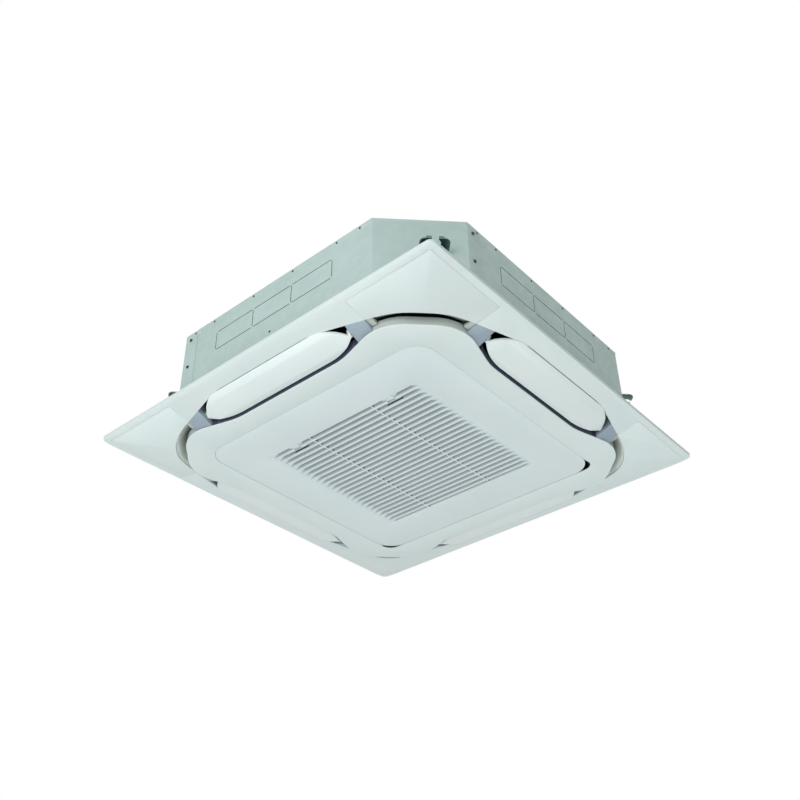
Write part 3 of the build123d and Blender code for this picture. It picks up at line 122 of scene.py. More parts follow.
class ShaderTree:
    """One material's node tree, with short calls for what the finishes share."""

    def __init__(self, name: str) -> None:
        """Start a material with a bare Principled shader.

        Args:
            name: The material's name.
        """
        self.material = bpy.data.materials.new(name)
        self.material.use_nodes = True
        self.tree = self.material.node_tree
        self.shader = self.tree.nodes["Principled BSDF"]
        self.place = self.node("ShaderNodeTexCoord").outputs["Object"]

    def node(self, kind: str, **settings: Any) -> bpy.types.Node:
        """Add a node and set its properties.

        Args:
            kind: The node's type.
            settings: Its properties by name.

        Returns:
            The node.
        """
        made = self.tree.nodes.new(kind)
        for key, value in settings.items():
            setattr(made, key, value)
        return made

    def link(self, source: Socket, target: Socket) -> None:
        """Join an output to an input."""
        self.tree.links.new(source, target)

    def feed(self, socket: str, source: Socket) -> None:
        """Let an output drive one of the shader's sockets."""
        self.link(source, self.shader.inputs[socket])

    def set(self, socket: str, value: Any) -> None:
        """Set one of the shader's own sockets."""
        self.shader.inputs[socket].default_value = value

    def noise(self, scale: float, detail: float = 2.0, stretch: Sequence[float] | None = None) -> Socket:
        """Add a noise pattern on the object's coordinates.

        Args:
            scale: Cells per metre.
            detail: Octaves of finer noise.
            stretch: Scale along each axis, for a drawn or rolled grain.

        Returns:
            The pattern's value, around 0.5.
        """
        texture = self.node("ShaderNodeTexNoise")
        texture.inputs["Scale"].default_value = scale
        texture.inputs["Detail"].default_value = detail
        place = self.place
        if stretch:
            mapping = self.node("ShaderNodeMapping")
            mapping.inputs["Scale"].default_value = stretch
            self.link(place, mapping.inputs["Vector"])
            place = mapping.outputs["Vector"]
        self.link(place, texture.inputs["Vector"])
        return texture.outputs["Fac"]

    def cells(self, scale: float, output: str) -> Socket:
        """Add a Voronoi pattern.

        Args:
            scale: Cells per metre.
            output: "Color" for each cell's random colour, or "Distance" for how far its middle lies.

        Returns:
            That output.
        """
        texture = self.node("ShaderNodeTexVoronoi")
        texture.inputs["Scale"].default_value = scale
        self.link(self.place, texture.inputs["Vector"])
        return texture.outputs[output]

    def ranged(self, value: Socket, low: float = 0.0, high: float = 1.0,
               span: tuple[float, float] = NOISE_SPAN) -> Socket:
        """Stretch a pattern's span to a low and a high value.

        Args:
            value: The pattern.
            low: What the span's start becomes.
            high: What the span's end becomes.
            span: The pattern's own start and end.

        Returns:
            The stretched pattern.
        """
        ranged = self.node("ShaderNodeMapRange")
        self.link(value, ranged.inputs["Value"])
        for name, number in zip(("From Min", "From Max", "To Min", "To Max"), (*span, low, high)):
            ranged.inputs[name].default_value = number
        return ranged.outputs["Result"]

    def colour(self, share: Socket, first: Colour, second: Colour) -> None:
        """Colour the surface by a blend of two colours.

        Args:
            share: How much of the second colour shows, from 0 to 1.
            first: The first colour.
            second: The second colour.
        """
        mix = self.node("ShaderNodeMix", data_type="RGBA")
        self.link(share, mix.inputs["Factor"])
        mix.inputs[6].default_value = first
        mix.inputs[7].default_value = second
        self.feed("Base Color", mix.outputs[2])

    def roughen(self, pattern: Socket, roughness: float, spread: tuple[float, float],
                span: tuple[float, float] = NOISE_SPAN) -> None:
        """Let a pattern vary the roughness.

        Args:
            pattern: The pattern.
            roughness: The plain roughness.
            spread: How far the pattern's start and end shift it.
            span: The pattern's own start and end.
        """
        low, high = (roughness + shift for shift in spread)
        self.feed("Roughness", self.ranged(pattern, low, high, span))

    def bump(self, height: Socket, depth: float, strength: float = 1.0) -> None:
        """Let a pattern raise the surface.

        Args:
            height: The pattern.
            depth: Its depth in metres.
            strength: How much of it shows.
        """
        bump = self.node("ShaderNodeBump")
        bump.inputs["Distance"].default_value = depth
        bump.inputs["Strength"].default_value = strength
        self.link(height, bump.inputs["Height"])
        self.feed("Normal", bump.outputs["Normal"])


@dataclass(frozen=True)
class MouldedPlastic:
    """Injection-moulded plastic with a fine spark-eroded grain and faint cloudiness."""

    name: str
    base: Colour
    cloud: Colour
    roughness: float = 0.42
    gloss_spread: tuple[float, float] = (-0.04, 0.05)
    ior: float = 1.46
    cloud_scale: float = 6.0
    grain_scale: float = 900.0
    grain_depth: float = 0.03 * MM

    def make(self) -> bpy.types.Material:
        """Build the material.

        Returns:
            The material.
        """
        tree = ShaderTree(self.name)
        tree.colour(tree.ranged(tree.noise(self.cloud_scale)), self.base, self.cloud)
        grain = tree.noise(self.grain_scale, detail=1.0)
        tree.roughen(grain, self.roughness, self.gloss_spread)
        tree.set("IOR", self.ior)
        tree.bump(grain, self.grain_depth)
        return tree.material


@dataclass(frozen=True)
class ZincSheet:
    """Hot-dip galvanised sheet: pale crystals, each with its own shade and gloss, under broad streaks."""

    name: str
    pale: Colour
    deep: Colour
    crystal_scale: float = 70.0
    crystal_share: float = 0.35
    streak_scale: float = 9.0
    ripple_scale: float = 260.0
    ripple_depth: float = 0.04 * MM
    metallic: float = 0.2
    roughness: float = 0.52
    gloss_spread: tuple[float, float] = (-0.07, 0.09)

    def make(self) -> bpy.types.Material:
        """Build the material.

        Returns:
            The material.
        """
        tree = ShaderTree(self.name)
        crystals = tree.node("ShaderNodeSeparateColor")
        tree.link(tree.cells(self.crystal_scale, "Color"), crystals.inputs["Color"])
        crystal = crystals.outputs["Red"]
        streak = tree.ranged(tree.noise(self.streak_scale, detail=3.0), 0.0, 1.0 - self.crystal_share)
        both = tree.node("ShaderNodeMath", operation="MULTIPLY_ADD")
        tree.link(crystal, both.inputs[0])
        both.inputs[1].default_value = self.crystal_share
        tree.link(streak, both.inputs[2])
        tree.colour(both.outputs[0], self.pale, self.deep)
        tree.roughen(crystal, self.roughness, self.gloss_spread, span=(0.0, 1.0))
        tree.set("Metallic", self.metallic)
        tree.bump(tree.noise(self.ripple_scale), self.ripple_depth)
        return tree.material


@dataclass(frozen=True)
class PlatedSteel:
    """Plated or bare metal with a rolled grain."""

    name: str
    base: Colour
    worn: Colour
    roughness: float = 0.34
    gloss_spread: tuple[float, float] = (-0.08, 0.12)
    stretch: tuple[float, float, float] = (1.0, 1.0, 9.0)
    patch_scale: float = 70.0
    grain_scale: float = 300.0
    grain_depth: float = 0.03 * MM

    def make(self) -> bpy.types.Material:
        """Build the material.

        Returns:
            The material.
        """
        tree = ShaderTree(self.name)
        tree.colour(tree.ranged(tree.noise(self.patch_scale, detail=4.0)), self.base, self.worn)
        grain = tree.noise(self.grain_scale, stretch=self.stretch)
        tree.roughen(grain, self.roughness, self.gloss_spread)
        tree.set("Metallic", 1.0)
        tree.bump(grain, self.grain_depth)
        return tree.material


@dataclass(frozen=True)
class CellFoam:
    """Closed-cell foam or rubber with a pitted skin."""

    name: str
    base: Colour
    pale: Colour
    roughness: float = 0.92
    cell_scale: float = 420.0
    cell_span: tuple[float, float] = (0.0, 0.8)
    cell_depth: float = 0.4 * MM
    cell_strength: float = 0.6

    def make(self) -> bpy.types.Material:
        """Build the material.

        Returns:
            The material.
        """
        tree = ShaderTree(self.name)
        pits = tree.cells(self.cell_scale, "Distance")
        tree.colour(tree.ranged(pits, span=self.cell_span), self.base, self.pale)
        tree.set("Roughness", self.roughness)
        tree.bump(pits, self.cell_depth, self.cell_strength)
        return tree.material


class Finish(Enum):
    """Every finish of the object, by the piece that wears it."""

    PANEL = MouldedPlastic("panel_plastic", srgb(217, 228, 226), srgb(213, 225, 224))
    GRILLE = MouldedPlastic("grille_plastic", srgb(216, 226, 227), srgb(212, 223, 224))
    FLAP = MouldedPlastic("flap_plastic", srgb(220, 229, 228), srgb(217, 227, 226), roughness=0.36)
    # Painted shade: a darker grey of the grille plastic, for the shaded sides of the slots.
    SLAT_SIDE_SHADE = MouldedPlastic("slat_side_painted_shade", srgb(180, 192, 196), srgb(176, 188, 192))
    # Painted shade: the panel plastic's grey as it looks in shade, for the walls inside the outlets.
    WALL = MouldedPlastic("outlet_wall_painted_shade", srgb(184, 191, 187), srgb(178, 185, 181))
    SHADE = MouldedPlastic("duct_shade", srgb(66, 73, 88), srgb(60, 67, 82), roughness=0.6)
    # Painted light: near white, brighter than the liners' own cream, for light that the deep corner outlets
    # lack.
    LINER_LIT = MouldedPlastic("liner_painted_light", srgb(246, 253, 247), srgb(242, 249, 243))
    BRACKET = MouldedPlastic("bracket_plastic", srgb(150, 165, 176), srgb(143, 158, 170), roughness=0.4)
    DUCT = MouldedPlastic("duct_plastic", srgb(92, 100, 106), srgb(84, 92, 98), roughness=0.5)
    BLACK = MouldedPlastic("black_plastic", srgb(40, 42, 46), srgb(34, 36, 40), roughness=0.5)
    FLOAT = MouldedPlastic("float_plastic", srgb(222, 222, 218), srgb(214, 215, 210))
    NET = MouldedPlastic("filter_net", srgb(88, 94, 100), srgb(78, 84, 90), roughness=0.7)
    CASING = ZincSheet("galvanised_sheet", srgb(186, 206, 202), srgb(177, 197, 193))
    # Painted shade: near black, for the shade in the knock-outs' narrow cut lines.
    SLIT_SHADE = PlatedSteel("slit_painted_shade", srgb(40, 48, 50), srgb(34, 42, 44), roughness=0.7)
    HANGER = PlatedSteel("hanger_steel", srgb(116, 142, 139), srgb(88, 112, 110), roughness=0.28)
    SCREW = PlatedSteel("screw_zinc", srgb(178, 184, 184), srgb(150, 156, 156))
    COPPER = PlatedSteel("copper_tube", srgb(198, 126, 92), srgb(176, 104, 76), roughness=0.3)
    FIN = PlatedSteel("fin_aluminium", srgb(198, 204, 208), srgb(182, 188, 194), roughness=0.4,
                      stretch=(1.0, 1.0, 0.1))
    CLINCH = PlatedSteel("clinched_zinc", srgb(72, 82, 82), srgb(60, 70, 70), roughness=0.6)
    # Painted shade: dark navy, for the shaded gap between the inner frame and the near flaps.
    SEAL_SHADE = CellFoam("outlet_seal", srgb(62, 69, 88), srgb(74, 82, 102))
    FOAM = CellFoam("dark_foam", srgb(42, 47, 56), srgb(54, 60, 70))
    PAN = CellFoam("pan_foam", srgb(52, 58, 66), srgb(62, 68, 78), cell_scale=260.0)
    RUBBER = CellFoam("mount_rubber", srgb(24, 25, 27), srgb(30, 31, 33), cell_scale=900.0)


class Paints:
    """Makes each finish's material once."""

    def __init__(self) -> None:
        """Start with an empty shelf."""
        self.made: dict[Finish, bpy.types.Material] = {}

    def of(self, finish: Finish) -> bpy.types.Material:
        """Give a finish's material.

        Args:
            finish: The finish.

        Returns:
            Its material, made at the first call.
        """
        if finish not in self.made:
            self.made[finish] = finish.value.make()
        return self.made[finish]


class PatternTree:
    """A Geometry Nodes tree with named inputs, for pieces that repeat or follow a rule."""

    def __init__(self, name: str) -> None:
        """Start an empty tree.

        Args:
            name: The name of the piece that it makes.
        """
        self.name = name
        self.group = bpy.data.node_groups.new(name, "GeometryNodeTree")
        self.group.interface.new_socket("Geometry", in_out="OUTPUT", socket_type="NodeSocketGeometry")
        self.entry = self.group.nodes.new("NodeGroupInput")
        self.settings: dict[str, float | int] = {}

    def size(self, name: str, value: float | int) -> Socket:
        """Add a named input.

        Args:
            name: The input's name.
            value: What the piece's modifier sets it to; a whole number makes a whole-number input.

        Returns:
            The socket to use inside the tree.
        """
        kind = "NodeSocketInt" if isinstance(value, int) else "NodeSocketFloat"
        socket = self.group.interface.new_socket(name, in_out="INPUT", socket_type=kind)
        self.settings[socket.identifier] = value
        return self.entry.outputs[name]

    def node(self, kind: str, inputs: dict[str | int, Any] | None = None, **settings: Any) -> bpy.types.Node:
        """Add a node.

        Args:
            kind: The node's type.
            inputs: What its inputs are set to, or the sockets that they are linked to.
            settings: Its properties by name.

        Returns:
            The node.
        """
        made = self.group.nodes.new(kind)
        for key, value in settings.items():
            setattr(made, key, value)
        for key, value in (inputs or {}).items():
            if isinstance(value, Socket):
                self.group.links.new(value, made.inputs[key])
            else:
                made.inputs[key].default_value = value
        return made

    def reckon(self, operation: str, *numbers: Any) -> Socket:
        """Work out a number from others."""
        return self.node("ShaderNodeMath", dict(enumerate(numbers)), operation=operation).outputs[0]

    def vector(self, x: Any = 0.0, y: Any = 0.0, z: Any = 0.0) -> Socket:
        """Put three numbers into one vector."""
        return self.node("ShaderNodeCombineXYZ", {"X": x, "Y": y, "Z": z}).outputs[0]

    def moved(self, geometry: Socket, **change: Any) -> Socket:
        """Move, turn or stretch some geometry."""
        inputs = {"Geometry": geometry, **{key.title(): value for key, value in change.items()}}
        return self.node("GeometryNodeTransform", inputs).outputs[0]

    def joined(self, *parts: Socket) -> Socket:
        """Join several geometries.

        Args:
            parts: The geometries.

        Returns:
            All of them as one.
        """
        join = self.node("GeometryNodeJoinGeometry")
        for part in parts:
            self.group.links.new(part, join.inputs[0])
        return join.outputs[0]

    def bar(self, x: Any, y: Any, z: Any) -> Socket:
        """Make a box of three sizes, about its own middle."""
        return self.node("GeometryNodeMeshCube", {"Size": self.vector(x, y, z)}).outputs["Mesh"]

    def oblong(self, width: Any, height: Any) -> Socket:
        """Make a closed four-cornered path."""
        sizes = {"Width": width, "Height": height}
        return self.node("GeometryNodeCurvePrimitiveQuadrilateral", sizes).outputs[0]

    def circle(self, radius: Any, corners: int) -> Socket:
        """Make a closed round path with so many corners."""
        sizes = {"Radius": radius, "Resolution": corners}
        return self.node("GeometryNodeCurvePrimitiveCircle", sizes).outputs[0]

    def rounded(self, curve: Socket, radius: Any, steps: int) -> Socket:
        """Round a path's corners, each in so many steps."""
        inputs = {"Curve": curve, "Radius": radius, "Count": steps}
        return self.node("GeometryNodeFilletCurve", inputs, mode="POLY").outputs[0]

    def swept(self, path: Socket, section: Socket, capped: bool = False) -> Socket:
        """Draw a section along a path, with or without end caps."""
        inputs = {"Curve": path, "Profile Curve": section, "Fill Caps": capped}
        return self.node("GeometryNodeCurveToMesh", inputs).outputs[0]

    def row(self, instance: Socket, count: int, start: Any, step: Any, **more: Any) -> Socket:
        """Repeat an instance on a straight row of points.

        Args:
            instance: What is repeated.
            count: How often.
            start: The first place.
            step: From each place to the next.
            more: Other inputs of the instances, such as their rotation.

        Returns:
            The instances.
        """
        line = self.node("GeometryNodeMeshLine", {"Count": count, "Start Location": start, "Offset": step})
        inputs = {"Points": line.outputs[0], "Instance": instance}
        inputs.update((key.title(), value) for key, value in more.items())
        return self.node("GeometryNodeInstanceOnPoints", inputs).outputs[0]

    def around(self, geometry: Socket, count: int) -> Socket:
        """Repeat what stands on the front side in a ring about the middle.

        Args:
            geometry: What stands there.
            count: How many of it the full turn holds.

        Returns:
            The instances.
        """
        index = self.node("GeometryNodeInputIndex").outputs[0]
        turn = self.vector(z=self.reckon("MULTIPLY", index, 2 * math.pi / count))
        return self.row(geometry, count, ZERO, ZERO, rotation=turn)

    def past_corner(self, limit: Any) -> Socket:
        """Tell what lies beyond a limit on both +X and +Y.

        Args:
            limit: The limit.

        Returns:
            1 there and 0 elsewhere.
        """
        position = self.node("GeometryNodeInputPosition").outputs[0]
        place = self.node("ShaderNodeSeparateXYZ", {0: position}).outputs
        beyond = [self.reckon("GREATER_THAN", place[axis], limit) for axis in (0, 1)]
        return self.reckon("MULTIPLY", *beyond)

    def piece(self, geometry: Socket, material: bpy.types.Material,
              smooth: float | None) -> bpy.types.Object:
        """End the tree, run it once and keep its result as a plain mesh.

        Args:
            geometry: What the tree has made.
            material: The material of all of it.
            smooth: Edges flatter than this many degrees are shaded smooth; None leaves every face flat.

        Returns:
            The finished object, without a modifier.
        """
        real = self.node("GeometryNodeRealizeInstances", {"Geometry": geometry}).outputs[0]
        painted = self.node("GeometryNodeSetMaterial", {"Geometry": real, "Material": material}).outputs[0]
        self.node("NodeGroupOutput", {0: painted})
        piece = put_in_scene(self.name, bpy.data.meshes.new(self.name))
        modifier = piece.modifiers.new(self.name, "NODES")
        modifier.node_group = self.group
        for identifier, value in self.settings.items():
            modifier[identifier] = value
        evaluated = piece.evaluated_get(bpy.context.evaluated_depsgraph_get())
        plain = bpy.data.meshes.new_from_object(evaluated)
        piece.modifiers.remove(modifier)
        piece.data = plain
        if smooth is not None:
            plain.set_sharp_from_angle(angle=math.radians(smooth))
        return piece


@dataclass(frozen=True)
class Lamp:
    """A square lamp."""

    name: str
    place: tuple[float, float, float]
    size: float
    watts: float

    def hang(self, aim: Vector) -> None:
        """Hang the lamp.

        Args:
            aim: The place that it faces.
        """
        data = bpy.data.lights.new(self.name, "AREA")
        data.size = self.size
        data.energy = self.watts
        lamp = put_in_scene(self.name, data)
        lamp.location = self.place
        lamp.rotation_euler = (aim - lamp.location).to_track_quat("-Z", "Y").to_euler()


@dataclass
class Studio:
    """The camera at the photograph's angle, the pale floor and the plain soft light."""

    camera_place: tuple[float, float, float] = (-1.4829, -1.2528, -1.2075)
    camera_aim: tuple[float, float, float] = (-0.1139, -0.0918, 0.0645)
    camera_roll: float = math.radians(-0.86)
    lens_mm: float = 45.64
    sensor_mm: float = 36.0
    floor_z: float = -3.0
    floor_half: float = 5.0
    floor_colour: Colour = (0.86, 0.86, 0.86, 1.0)
    floor_roughness: float = 0.8
    world_colour: Colour = (0.9, 1.0, 1.0, 1.0)
    world_strength: float = 0.26
    backdrop_colour: Colour = (1.0, 1.0, 1.0, 1.0)
    lamp_aim: tuple[float, float, float] = (0.0, 0.0, 0.1)
    lamps: tuple[Lamp, ...] = (
        Lamp("under_lamp", (-1.8, 1.0, -2.6), size=2.0, watts=42.0),
        Lamp("fill_lamp", (1.0, -1.6, -2.7), size=2.0, watts=43.0),
        Lamp("side_lamp", (-3.2, -1.2, -0.4), size=1.6, watts=64.0),
        Lamp("back_lamp", (2.2, 2.4, 2.6), size=2.4, watts=70.0))

    def camera(self) -> None:
        """Set up the camera."""
        place = Vector(self.camera_place)
        forward = (Vector(self.camera_aim) - place).normalized()
        level = forward.cross(Vector((0, 0, 1))).normalized()
        turn = Matrix.Rotation(self.camera_roll, 3, -forward)
        right, up = turn @ level, turn @ level.cross(forward)
        data = bpy.data.cameras.new("photo_camera")
        data.lens = self.lens_mm
        data.sensor_width = self.sensor_mm
        camera = put_in_scene("photo_camera", data)
        basis = Matrix((right, up, -forward)).transposed().to_4x4()
        camera.matrix_world = Matrix.Translation(place) @ basis
        bpy.context.scene.camera = camera

    def world(self) -> None:
        """Give the surroundings a soft white, and show plain white behind, in gloss and through glass."""
        world = bpy.data.worlds.new("studio_world")
        world.use_nodes = True
        nodes, links = world.node_tree.nodes, world.node_tree.links
        light = nodes["Background"]
        light.inputs["Color"].default_value = self.world_colour
        light.inputs["Strength"].default_value = self.world_strength
        shown = nodes.new("ShaderNodeBackground")
        shown.inputs["Color"].default_value = self.backdrop_colour
        rays = nodes.new("ShaderNodeLightPath").outputs
        share = rays["Is Camera Ray"]
        for ray in ("Is Glossy Ray", "Is Transmission Ray"):
            either = nodes.new("ShaderNodeMath")
            either.operation = "MAXIMUM"
            links.new(share, either.inputs[0])
            links.new(rays[ray], either.inputs[1])
            share = either.outputs[0]
        mix = nodes.new("ShaderNodeMixShader")
        links.new(share, mix.inputs["Fac"])
        links.new(light.outputs["Background"], mix.inputs[1])
        links.new(shown.outputs["Background"], mix.inputs[2])
        links.new(mix.outputs["Shader"], nodes["World Output"].inputs["Surface"])
        bpy.context.scene.world = world

    def floor(self) -> None:
        """Lay the pale floor of the room, a ceiling's height below the panel."""
        mesh = bpy.data.meshes.new("room_floor")
        half = self.floor_half
        corners = [(x * half, y * half, self.floor_z) for x, y in ((-1, -1), (1, -1), (1, 1), (-1, 1))]
        mesh.from_pydata(corners, [], [(0, 1, 2, 3)])
        floor = put_in_scene("room_floor", mesh)
        tree = ShaderTree("floor_paint")
        tree.set("Base Color", self.floor_colour)
        tree.set("Roughness", self.floor_roughness)
        mesh.materials.append(tree.material)

    def build(self) -> None:
        """Set up the whole studio."""
        self.camera()
        self.world()
        self.floor()
        for lamp in self.lamps:
            lamp.hang(Vector(self.lamp_aim))
        bpy.context.scene.view_settings.view_transform = "Standard"


class Bench:
    """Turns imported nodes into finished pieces.

    Points within merge_distance become one, and neighbouring faces within flat_angle become one face. Edges
    over curve_angle are broken, and edges over shading_angle stay sharp in the shading.
    """

    merge_distance = 0.002 * MM
    flat_angle = math.radians(0.4)
    curve_angle = math.radians(35.0)
    shading_angle = math.radians(45.0)
    edge_profile = 0.6

    def __init__(self, frame: dict[str, Any]) -> None:
        """Remember the frame, and which body and material slot each node has.

        Args:
            frame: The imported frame.
        """
        self.frame = frame
        self.paints = Paints()
        bodies = frame["record"]["behaviour"]["bodies"]
        self.body_of = {node: body for body, nodes in bodies.items() for node in nodes}
        self.slot_of = {part["node"]: part["material_slot"] for part in frame["record"]["subparts"]}

    def paint(self, node: str, finish: Finish) -> None:
        """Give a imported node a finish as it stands.

        Args:
            node: The node.
            finish: Its finish.
        """
        mesh = self.frame["nodes"][node].data
        mesh.materials.clear()
        mesh.materials.append(self.paints.of(finish))
        log.info("painted %s", node)

    def adopt(self, piece: bpy.types.Object, node: str) -> None:
        """Let a new piece ride on a node's body and stand for that node.

        Args:
            piece: The finished piece.
            node: The node.
        """
        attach(piece, self.body_of[node])
        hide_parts(node)
        log.info("built %s for %s", piece.name, node)

    def add(self, piece: bpy.types.Object, beside: str) -> None:
        """Let an added piece ride on the body of the node that carries it.

        Args:
            piece: The finished piece.
            beside: The node that carries it.
        """
        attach(piece, self.body_of[beside])
        log.info("added %s on %s", piece.name, beside)

    def cast(self, tree: PatternTree, geometry: Socket, finish: Finish,
             smooth: float | None = 40.0) -> bpy.types.Object:
        """Turn a pattern into a finished piece; see PatternTree.piece."""
        return tree.piece(geometry, self.paints.of(finish), smooth)

    def soften(self, node: str, finish: Finish, edge: float = 0.4 * MM, segments: int = 2,
               cutter: bpy.types.Object | None = None) -> bpy.types.Object:
        """Replace a node with a copy whose edges are broken and whose curves are smooth.

        Args:
            node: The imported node.
            finish: Its finish.
            edge: Width of the broken edges.
            segments: Faces across a broken edge.
            cutter: A solid to cut away before the edges are broken.

        Returns:
            The new piece.
        """
        mesh = self.frame["nodes"][node].data.copy()
        mesh.name = node + "_moulded"
        work = bmesh.new()
        work.from_mesh(mesh)
        bmesh.ops.remove_doubles(work, verts=work.verts, dist=self.merge_distance)
        if cutter:
            work = self.cut(work, cutter)
        bmesh.ops.dissolve_limit(work, angle_limit=self.flat_angle, verts=work.verts, edges=work.edges)
        folds = [fold for fold in work.edges
                 if len(fold.link_faces) == 2 and fold.calc_face_angle(0.0) > self.curve_angle]
        bmesh.ops.bevel(work, geom=folds, offset=edge, offset_type="OFFSET", segments=segments,
                        profile=self.edge_profile, affect="EDGES", clamp_overlap=True)
        work.to_mesh(mesh)
        work.free()
        mesh.materials.clear()
        mesh.materials.append(self.paints.of(finish))
        mesh.set_sharp_from_angle(angle=self.shading_angle)
        piece = put_in_scene(mesh.name, mesh)
        self.adopt(piece, node)
        return piece

    def tint(self, piece: bpy.types.Object, finish: Finish,
             chosen: Callable[[bpy.types.MeshPolygon], bool]) -> None:
        """Give some faces of a piece another finish.

        Args:
            piece: The finished piece.
            finish: The other finish.
            chosen: Tells whether a face takes it.
        """
        piece.data.materials.append(self.paints.of(finish))
        last = len(piece.data.materials) - 1
        for polygon in piece.data.polygons:
            if chosen(polygon):
                polygon.material_index = last

    def cut(self, work: bmesh.types.BMesh, cutter: bpy.types.Object) -> bmesh.types.BMesh:
        """Cut a solid away from a merged mesh.

        Args:
            work: The merged mesh, which is freed.
            cutter: The solid to cut away, which is removed.

        Returns:
            The mesh that is left.
        """
        blank = put_in_scene("blank", bpy.data.meshes.new("blank"))
        work.to_mesh(blank.data)
        work.free()
        modifier = blank.modifiers.new("cut", "BOOLEAN")
        modifier.operation, modifier.solver, modifier.object = "DIFFERENCE", "EXACT", cutter
        evaluated = blank.evaluated_get(bpy.context.evaluated_depsgraph_get())
        left = bmesh.new()
        left.from_mesh(evaluated.to_mesh())
        evaluated.to_mesh_clear()
        for spent in (blank, cutter):
            bpy.data.objects.remove(spent)
        return left


@dataclass
class Panel:
    """The decoration panel: its two frames, corner covers, liners, brackets and flaps.

    Each corner outlet's edge is an arc, whose centre lies arc_centre out along both axes.
    """

    bench: Bench
    flap_axis: float = 393.0 * MM
    flap_edge: float = 433.5 * MM
    flap_growth: float = 1.6 * MM
    arc_centre: float = 204.0 * MM
    arc_radius: float = 208.0 * MM
    arc_half_angle: float = math.radians(30.0)
    arc_bulge: float = 7.5 * MM
    arc_fade: float = 45.0 * MM
    liner_top_drop: float = 12.0 * MM
    liner_top_shift: float = 24.0 * MM
    liner_step: float = 6.0 * MM
    bracket_foot: float = 12.0 * MM
    bracket_drop: float = 6.0 * MM
    wall_corner: float = 236.0 * MM
    wall_low: float = 2.0 * MM
    wall_slope: float = 0.4

    def flap(self, side: str, outward: Vector) -> None:
        """Make a flap and draw its outer edge close to the frame's opening.

        Args:
            side: The side's name.
            outward: The side's outward direction.
        """
        piece = self.bench.soften("flap_" + side, Finish.FLAP)
        for vertex in piece.data.vertices:
            share = (vertex.co.dot(outward) - self.flap_axis) / (self.flap_edge - self.flap_axis)
            vertex.co += outward * self.flap_growth * max(share, 0.0)

    def from_arc(self, place: Vector) -> tuple[Vector, float]:
        """Tell where a place lies from the centre of its corner's outlet arc.

        Args:
            place: The place.

        Returns:
            The outward direction along the floor, and the distance.
        """
        centre = Vector((math.copysign(self.arc_centre, place.x), math.copysign(self.arc_centre, place.y)))
        offset = Vector((place.x, place.y)) - centre
        return Vector((*offset.normalized(), 0.0)), offset.length

    def bulge(self, piece: bpy.types.Object) -> bpy.types.Object:
        """Let the opening's edge swell outwards round each corner outlet.

        Args:
            piece: A finished piece on that edge.

        Returns:
            The same piece.
        """
        for vertex in piece.data.vertices:
            outward, distance = self.from_arc(vertex.co)
            inside = min(abs(vertex.co.x), abs(vertex.co.y)) > self.arc_centre
            turn = abs(math.atan2(abs(outward.y), abs(outward.x)) - math.pi / 4)
            if not inside or turn > self.arc_half_angle:
                continue
            fade = min(max(1.0 - (distance - self.arc_radius) / self.arc_fade, 0.0), 1.0)
            swell = math.cos(turn / self.arc_half_angle * math.pi / 2) ** 2
            vertex.co += outward * self.arc_bulge * fade * swell
        return piece

    def liners(self) -> None:
        """Make the corner liners, whose walls lean in over the corner outlets, with painted light and
        painted shade.
        """
        piece = self.bench.soften("corner_liners", Finish.LINER_LIT)
        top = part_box("corner_liners")[1].z
        step_reach = self.arc_radius - self.liner_step
        # Painted shade: the liners' low faces near the arc take the grey wall finish.
        self.bench.tint(piece, Finish.WALL, lambda face: (
            face.center.z < top / 2 and self.from_arc(face.center)[1] < step_reach))
        for vertex in self.bulge(piece).data.vertices:
            if vertex.co.z > top - self.liner_top_drop:
                vertex.co -= self.from_arc(vertex.co)[0] * self.liner_top_shift
                vertex.co.z -= self.liner_top_drop

    def brackets(self, side: str) -> None:
        """Make a side's flap brackets and bring their inner ends down to the inner frame's lip.

        Args:
            side: The side's name.
        """
        piece = self.bench.soften("flap_brackets_" + side, Finish.BRACKET)
        for vertex in piece.data.vertices:
            if vertex.co.z < self.bracket_foot:
                vertex.co.z -= self.bracket_drop

    def inner(self) -> None:
        """Make the inner frame, with painted shade on its walls: grey at the corners and dark beside the
        flaps.
        """
        piece = self.bench.soften("inner_frame", Finish.PANEL)
        # Painted shade: walls above the lower face are grey at the corners and dark navy beside the flaps.
        for finish, at_corner in ((Finish.WALL, True), (Finish.SHADE, False)):
            self.bench.tint(piece, finish, lambda face: (
                abs(face.normal.z) < self.wall_slope and face.center.z > self.wall_low
                and (min(abs(face.center.x), abs(face.center.y)) > self.wall_corner) == at_corner))

    def build(self) -> None:
        """Finish every piece of the panel."""
        bench = self.bench
        self.bulge(bench.soften("outer_frame", Finish.PANEL))
        self.inner()
        for corner in CORNERS:
            self.bulge(bench.soften("corner_cover_" + corner, Finish.PANEL, FINE_EDGE))
        self.liners()
        for side, outward in SIDES.items():
            self.flap(side, Vector((*outward, 0.0)))
            self.brackets(side)
            bench.paint("swing_motor_" + side, Finish.BLACK)
        # Painted shade: the outlet seals are a dark navy strip for the shaded gap beside the flaps.
        bench.paint("outlet_seals", Finish.SEAL_SHADE)
        bench.paint("panel_gasket", Finish.FOAM)
        bench.paint("panel_screws", Finish.SCREW)


